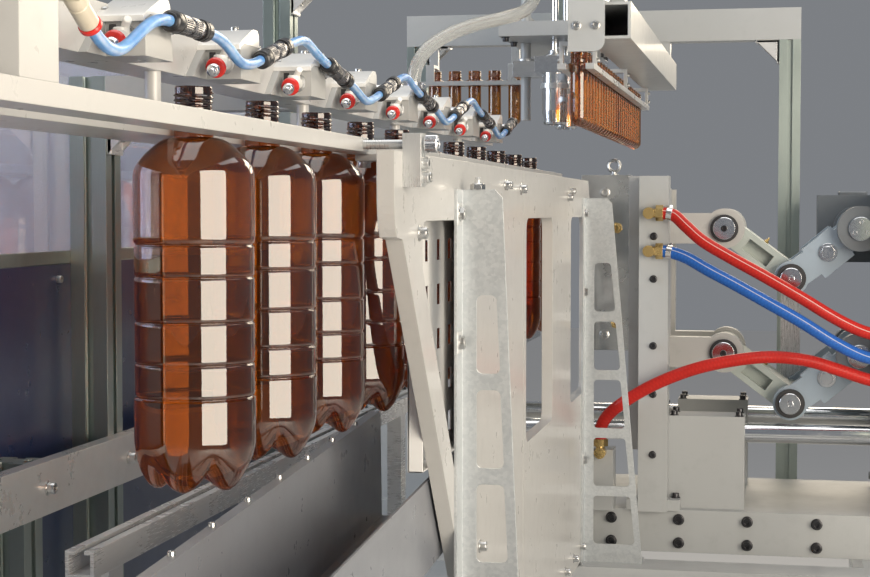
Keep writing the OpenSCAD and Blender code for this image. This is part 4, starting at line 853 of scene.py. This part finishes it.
screws.hexagon(13, (94, 561.5, SEAT), Z, 6, 0.4)
for x in (-90, -70, 34):
    screws.cap_screw(7, (x, HANGER_Y, BEAM + 49), Z)
for y in PEG_Y:
    screws.cap_screw(6, (-67, y, BEAM + 37), Z)
    studs.lathe([(6.1, 0), (10, 0), (10, 2.6), (9.4, 3.2), (6.1, 3.2)], (-67, y, NECK), Z, 30)
for i in range(16):
    screws.cap_screw(4, (BEAM_X, -112 + 101.25 * i, BEAM + 31), X, False)
for y, out in ((-410, -1), (1560, 1)):
    for x, z in product((-92, -68), (8, 29)):
        screws.cap_screw(4, (x, y, BEAM + z), (0, out, 0), False)
# the near rail's joints, and countersunk screws along both rails, each with a flat black disc as
# painted shade in its socket
for y in (360, 1130):
    seams_and_socket_shade.box((14.6, 30.2), (y - 0.3, y + 0.3), (RAIL - 0.05, NECK + 0.06), 0.02)
for y, x in product(range(-380, 1700, 77), (-66, 25)):
    on_peg = x < 0 and min(abs(y - q) for q in PEG_Y) < 14
    if (y % 154 > 40 or y < -40) and abs(y - HANGER_Y) > 30 and not on_peg:
        studs.lathe([(4.6, 0), (4.4, 0.15), (2.3, 0.15), (2.0, -0.8)], (x, y, NECK + 0.02),
                    Z, 20, False)
        seams_and_socket_shade.lathe([(2.2, 0.0), (0, 0.02)], (x, y, NECK + 0.1), Z, 6, False)
# flat black hexagons as painted shade in the sockets of the rail clamp's screws
for z in (RAIL - 22, RAIL - 10):
    seams_and_socket_shade.hexagon(5, (96.95, RAIL_CLAMP_Y, z), X, 0.25, 0.3)
    studs.lathe([(5.0, 0), (5.05, 3.6), (4.5, 4.2)], (92.9, RAIL_CLAMP_Y, z), X, 26)
screws.piece("wall_screws", "screw", "steel")
# dark joint lines, and black discs and hexagons that paint the shade in the screws' sockets
seams_and_socket_shade.piece("seams_and_socket_shades", "black", "black_plastic")
studs.piece("plates_and_studs", "steel", "steel")

knob = Shape()
knob.rod(2.5, (87, RAIL_CLAMP_Y, RAIL + 6), X, 6.4, n=20)
knob.knurl(7.5, (93.2, RAIL_CLAMP_Y, RAIL + 6), X, 11.6, 30, 0.5, 1.2)
knob.lathe([(4.4, 0), (4.4, 0.9), (3.4, 0.9), (3.0, 0.3)], (104.6, RAIL_CLAMP_Y, RAIL + 6), X, 26)
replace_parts(knob.piece("clamp_knob_knurled", "chrome", "steel", "clamp_knob"), "clamp_knob")

# Joints of the posts with the base and the arms
brackets, screws, plates = Shape(), Shape(), Shape()


def corner(x, y, z, dx, dz, w=34, leg=44):
    """Cast corner bracket with two ribs in an angle of the frame, and its two screws."""
    for s in (-1, 1):
        outer, inner = y + s * w / 2, y + s * (w / 2 - 4)
        brackets.add([p for v in (outer, inner)
                      for p in ((x, v, z), (x + dx * leg, v, z), (x, v, z + dz * leg))],
                     [(0, 1, 2), (5, 4, 3), (0, 3, 4, 1), (1, 4, 5, 2), (2, 5, 3, 0)])
    for wide, tall in ((leg, 5), (5, leg)):
        brackets.box((x, x + dx * wide), (y - w / 2, y + w / 2), (z, z + dz * tall), 0.8)
    screws.cap_screw(7, (x + dx * leg * 0.58, y, z + dz * 5), (0, 0, dz))
    screws.cap_screw(7, (x + dx * 5, y, z + dz * leg * 0.58), (dx, 0, 0))


for y in (-380, 593, 1270):
    corner(-300, y, BEAM, 1, -1)
for y, right in ((1270, 540), (2220, 380)):
    corner(-300, y, ARM, 1, -1)
    corner(right, y, ARM, -1, -1)
for x, y, _ in POSTS:
    for s in (-1, 1):
        if x + s * 60 < 590:
            plates.box((x + s * 20.5, x + s * 58), (y - 36, y + 36), (BASE, BASE + 8), 1)
            for dy in (-24, 24):
                screws.cap_screw(9, (x + s * 42, y + dy, BASE + 8), Z)
            corner(x + s * 20, y, BASE + 8, s, 1, 30, 34)
for y in POST_Y[:-1]:
    screws.cap_screw(7, (-285, y, NECK - 322), X)
for y, z in product(range(-360, 1290, 150), (NECK - 132, BASE + 26)):
    screws.cap_screw(5, (-340, y, z), X, False)
for y in (1244, 1284):
    screws.hex_screw(8, (150, y, NECK + 222), Z, 0.5)
brackets.piece("corner_brackets", "alu", "base_paint")
screws.piece("frame_screws", "screw", "steel")
plates.piece("post_plates", "base", "base_paint")

# Clear upper half of the guard
window, bars = Shape(), Shape()
window.box((-343, -340.4), (-396, 1286), (NECK - 112, NECK + 128), 0.6)
window.piece("guard_window", "clear", "clear_hose")
for z in (NECK - 117, NECK + 116):
    bars.box((-348, -340.2), (-400, 1290), (z, z + 14), 0.8)
bars.piece("guard_window_bars", "profile", "green_grey")

# Screws of the chute, the guide profile and the preform rails
CHUTE_Z = NECK - 316
screws = Shape()
for y in range(-380, 700, 90):
    screws.cap_screw(4, (-44, y, CHUTE_Z + y * 0.0533 - 0.4), Z, False)
for y, x in product((-380, 200, 390), (-24, 42)):
    screws.hex_screw(6, (x, y + 12, BASE + 4), Z, x)
for y, s in product((200, 593, 1270), (-1, 1)):
    screws.hex_screw(6, (-150 + s * 10, y, BASE + 18), (s, 0, 0))
for y, s, z in product((1263, 1733, 2173), (-1, 1), (6, 22)):
    screws.cap_screw(4, (110 + s * 25.5, y, NECK + 140 + z), (s, 0, 0), False)
for x, z in product((112, 138), (190, 280)):
    screws.cap_screw(6, (x, 1225, NECK + z), FRONT)
screws.piece("line_screws", "screw", "steel")

# Slide strips along the chute's floor
tilt = radians(3.05)
up, across = Vector((0, -sin(tilt), cos(tilt))) * 3, Vector((12, 0, 0))
strips = Shape()
for x in (-24, 28):
    ends = [Vector((x, y, CHUTE_Z - 118 / cos(tilt) + 2.6 + y * tan(tilt)))
            for y in (-390, 694)]
    strips.add([p + step for p in ends for step in (across * 0, across, across + up, up)],
               [(0, 1, 2, 3), (7, 6, 5, 4), (0, 4, 5, 1), (1, 5, 6, 2), (2, 6, 7, 3), (3, 7, 4, 0)])
strips.piece("chute_slide_strips", "white", "white_plastic")

# The clamp, on both sides of the line
PLATEN_X, PIVOT_X, KNEE_X, SHAFT_X, ANCHOR_X = 166.15, 292, 404, 516, 571
MOULD_X = 96
GUIDE_Z = NECK - 433
HEIGHTS = (("upper", UPPER), ("lower", LOWER))
COUPLER = [(5, 0), (5, 5), (6.4, 5.6), (6.4, 9), (5.2, 10), (3.2, 10), (3.2, 3)]
NIPPLE = [(2.4, 0), (2.4, 3), (1.4, 4), (2.1, 5.4), (1.2, 6.8), (0, 7)]


def platen(side, m):
    """Screws, pin caps and bushes of a platen."""
    screws, caps, bushes = Shape(), Shape(), Shape()
    face = m * PLATEN_X
    for dy, z in product((-130, -100, -30, 30, 100, 130), (60, 160, 270)):
        screws.cap_screw(9, (face, CLAMP_Y + dy, NECK - z), (m, 0, 0))
    for z, s in product((UPPER, LOWER), (-1, 1)):
        x = m * PIVOT_X
        caps.lathe(disc(19, 5), (x, CLAMP_Y + s * 93, z), (0, s, 0), 36)
        screws.cap_screw(7, (x, CLAMP_Y + s * 98, z), (0, s, 0), False)
        bushes.lathe(disc(23.6, 7, 15.2, 0.6, 0.6), (x, CLAMP_Y + s * 85.6, z), (0, s, 0), 36)
    for s in (-1, 1):
        y = CLAMP_Y + s * 130
        bushes.lathe([(16.4, 0), (26.4, 0), (27, 0.8), (27, 3.4), (16.4, 3.4)],
                     (m * 181.2, y, GUIDE_Z), (m, 0, 0), 36)
        for dy, dz in bolt_circle(6, 21.5, 30):
            screws.cap_screw(4, (m * 184.6, y + dy, GUIDE_Z + dz), (m, 0, 0), False)
    for z, dy in product((440, 395), (-60, 0, 60)):
        screws.cap_screw(8, (face, CLAMP_Y + dy, NECK - z), (m, 0, 0))
    screws.piece("platen_screws_" + side, "black_screw", "dark_steel", "platen_" + side)
    caps.piece("platen_pin_caps_" + side, "chrome", "chrome", "platen_" + side)
    bushes.piece("platen_bushes_" + side, "bush", "black_plastic", "platen_" + side)


def mould_half(side, m):
    """Water couplers, screws and eyebolt of a mould half."""
    couplers, screws = Shape(), Shape()
    x, y = m * 116.15, CLAMP_Y - 154
    for z in (NECK - 90, NECK - 250):
        couplers.rod(6.8, (x, y + 6, z), FRONT, 8, n=24)
        couplers.hexagon(17, (x, y - 0.4, z), FRONT, 6)
        couplers.lathe(COUPLER, (x, y - 6.4, z), FRONT, 24, False)
    for s, z in product((-1, 1), (NECK - 30, NECK - 270)):
        screws.cap_screw(8, (m * MOULD_X, CLAMP_Y + s * 154, z), (0, s, 0))
    screws.rod(4, (m * MOULD_X, CLAMP_Y, NECK - 4), Z, 12, n=20)
    screws.eye((m * MOULD_X, CLAMP_Y, NECK + 18), X, 10, 3)
    screws.lathe([(4, 0), (8, 0), (8, 4), (4, 5)], (m * MOULD_X, CLAMP_Y, NECK - 1), Z, 24)
    couplers.piece("mould_couplers_" + side, "brass", "brass", "platen_" + side)
    screws.piece("mould_fasteners_" + side, "screw", "steel", "platen_" + side)


def toggle(side, m, height, pivot_z):
    """Pin caps, bush and bolts of a rear lever, and the grease nipple of its front link."""
    caps, bushes, nipple = Shape(), Shape(), Shape()
    x, z = m * KNEE_X, pivot_z - 84
    for s, dy in ((-1, -93), (1, 106)):
        caps.lathe(disc(18, 5), (x, CLAMP_Y + dy, z), (0, s, 0), 36)
        caps.cap_screw(7, (x, CLAMP_Y + dy + s * 5, z), (0, s, 0), False)
    bushes.lathe(disc(24.6, 7, 15.2, 0.6, 0.6), (x, CLAMP_Y - 85.6, z), FRONT, 36)
    x, z = m * 464, pivot_z - 40
    caps.lathe(disc(15.6, 3, 0, 0.6, 0.6), (x, CLAMP_Y - 85, z), FRONT, 36)
    caps.hexagon(22, (x, CLAMP_Y - 87.6, z), FRONT, 9, 0.35)
    x = m * SHAFT_X
    caps.lathe([(0, 0), (19, 0), (19.6, 0.8), (19.6, 4), (19, 4.6), (0, 4.6)],
               (x, CLAMP_Y - 121, pivot_z), FRONT, 36)
    for dx, dz in bolt_circle(3, 12, 90):
        caps.cap_screw(5, (x + dx, CLAMP_Y - 125.6, pivot_z + dz), FRONT, False)
    name = "_%s_%s" % (height, side)
    caps.piece("lever_caps" + name, "chrome", "chrome", "rear_lever" + name)
    bushes.piece("lever_bushes" + name, "bush", "black_plastic", "rear_lever" + name)
    nx, nz = m * 0.6, 0.8
    x, z = m * 348 + nx * 21, pivot_z - 42 + nz * 21
    nipple.hexagon(8, (x, CLAMP_Y, z), (nx, 0, nz), 3.5)
    nipple.lathe(NIPPLE, (x + nx * 3, CLAMP_Y, z + nz * 3), (nx, 0, nz), 16)
    nipple.piece("grease_nipple" + name, "brass", "brass", "front_link" + name)


def anchor_and_drive(side, m):
    """Screws and eyebolts of an anchor; cooling fins, terminal box and screws of a drive."""
    anchor, drive = Shape(), Shape()
    for dy, z in product((-135, 135), (BASE + 90, NECK - 290)):
        anchor.hex_screw(8, (m * 552, CLAMP_Y + dy, z), (-m, 0, 0), dy)
    for dy in (-90, 90):
        anchor.rod(6, (m * ANCHOR_X, CLAMP_Y + dy, NECK - 26), Z, 16, n=20)
        anchor.eye((m * ANCHOR_X, CLAMP_Y + dy, NECK + 2), Y, 13, 4)
    y = CLAMP_Y + 118
    for dx, z in product((-58, 20), (-54, 50)):
        drive.cap_screw(7, (m * (SHAFT_X + dx), y + 86, UPPER + z), Y)
    for i in range(14):
        drive.lathe([(43, 0), (49.4, 0.2), (49.4, 2.0), (43, 2.2)],
                    (m * SHAFT_X, y + 102 + i * 6.6, UPPER), Y, 48)
    drive.box((m * 490, m * 542), (y + 108, y + 164), (UPPER + 40, UPPER + 66), 2)
    drive.lathe([(50, 0), (51, 1), (51, 6), (50, 7)], (m * SHAFT_X, y + 86, UPPER), Y, 48)
    anchor.piece("anchor_fasteners_" + side, "screw", "steel")
    drive.piece("motor_fins_" + side, "gear", "machine_grey")


for side, m in (("right", 1), ("left", -1)):
    platen(side, m)
    mould_half(side, m)
    for height, pivot_z in HEIGHTS:
        toggle(side, m, height, pivot_z)
    anchor_and_drive(side, m)

# Screws of the bed, the guide bars' pedestals, the water blocks and the head plate
screws = Shape()
for x, z in product(range(-560, 600, 112), (BASE + 16, BASE + 55)):
    screws.cap_screw(9, (x, 1740, z), FRONT)
for s, t, x, dy in product((-1, 1), (-1, 1), (214, 321), (-26, 26)):
    screws.cap_screw(7, (s * x, CLAMP_Y + t * 130 + dy, NECK - 403), Z)
for x in (146, 218):
    screws.cap_screw(7, (x, 1755, 623), Z)
for z in (1060, 990, 880, 800, 700):
    screws.cap_screw(6, (182, 1712, z), FRONT)
for s, y in product((-1, 1), (1810, 1900, 2060, 2150, 2230)):
    screws.cap_screw(7, (s * (80 if y < 2090 else 48), y, ARM - 25), DOWN)
screws.piece("bed_and_head_screws", "black_screw", "dark_steel")

# The column that carries the stretch rods' yoke, and the nozzles' seals
column, slide, seals = Shape(), Shape(), Shape()
column.box((-30, 30), (2052, 2096), (ARM, NECK + 676), 2)
for s in (-1, 1):
    column.box((s * 9, s * 24), (2048.4, 2052.4), (ARM + 8, NECK + 668), 0.6)
column.piece("stretch_axis_column", "profile", "green_grey")
slide.box((-8, 8), (2024, 2054), (NECK + 606, NECK + 644), 1)
slide.box((-34, 34), (2038, 2047), (NECK + 600, NECK + 650), 1.5)
for s, z in product((-1, 1), (606, 644)):
    slide.cap_screw(5, (s * 26, 2038, NECK + z), FRONT, False)
slide.piece("stretch_axis_slide", "alu", "steel", "stretch_rods")
for y in (1848, 2002):
    seals.lathe([(22.2, 0), (24.5, 0.6), (24.5, 9), (22.2, 9.6)], (0, y, NECK + 150), Z, 40)
    seals.lathe([(6.6, 0), (15, 0), (15, 5), (11, 6), (11, 12), (6.6, 12)],
                (0, y, NECK + 204), Z, 32)
    for dx, dy in bolt_circle(6, 18):
        seals.cap_screw(4, (dx, y + dy, NECK + 204), Z, False)
for s in (-1, 1):
    seals.lathe([(9.2, 0), (15, 0), (15, 5), (9.2, 5)], (s * 62, CLAMP_Y, NECK + 204), Z, 32)
seals.piece("nozzle_seals", "steel", "chrome", "nozzle_carriage")

# Floor: seen by the camera it keeps its shadows but evens out towards one grey
floor_mesh = bpy.data.meshes.new("floor")
floor_mesh.from_pydata([(-14, -14, 0), (14, -14, 0), (14, 14, 0), (-14, 14, 0)], [],
                       [(0, 1, 2, 3)])
floor = bpy.data.objects.new("floor", floor_mesh)
scene.collection.objects.link(floor)
k = Kit("pale floor")
cloud = k.noise(0.8, detail=5)
floor_mesh.materials.append(k.set(
    Base_Color=k.mix(cloud, rgb(0.60, 0.60, 0.59), rgb(0.68, 0.68, 0.67)),
    Roughness=k.noise(7, detail=4) * 0.2 + 0.5,
    Normal=k.bump(k.noise(90, detail=4), 0.05, 0.001)))
even = k.node("Emission", 0, {"Color": rgb(0.26, 0.26, 0.265), "Strength": 1.0})
seen = k.node("LightPath", "Is Camera Ray")
k.put(k.out.inputs[0], k.node("MixShader", 0, {
    0: seen * 0.55, 1: Sock(k, k.bsdf.outputs[0]), 2: even}))

# Sky and soft lamps
world = bpy.data.worlds.new("studio")
scene.world = world
world.use_nodes = True
sky = world.node_tree.nodes["Background"]
sky.inputs[0].default_value = rgb(0.78, 0.82, 0.88)
sky.inputs[1].default_value = 0.26


def soft_box(name, at, aim, size, power, color):
    d = bpy.data.lights.new(name, "AREA")
    d.shape = "RECTANGLE"
    d.size, d.size_y = size
    d.energy = power
    d.color = color
    o = bpy.data.objects.new(name, d)
    o.location = at
    o.rotation_euler = (Vector(at) - Vector(aim)).to_track_quat("Z", "Y").to_euler()
    scene.collection.objects.link(o)


soft_box("window light", (2.6, -2.6, 1.35), (0, -0.6, 1.05), (2.9, 2.2), 175, (1.0, 0.89, 0.74))
soft_box("top light", (0.4, 0.2, 4.2), (0, 0.1, 1), (3.4, 4.2), 85, (1.0, 0.98, 0.95))
soft_box("left light", (-3.6, -1.2, 2.0), (0, 0, 1.1), (2.2, 2.4), 95, (0.80, 0.88, 1.0))
soft_box("back light", (0.9, 3.6, 2.4), (0.1, 0.8, 1.1), (2.4, 1.6), 75, (1.0, 0.86, 0.66))

scene.view_settings.view_transform = "Standard"
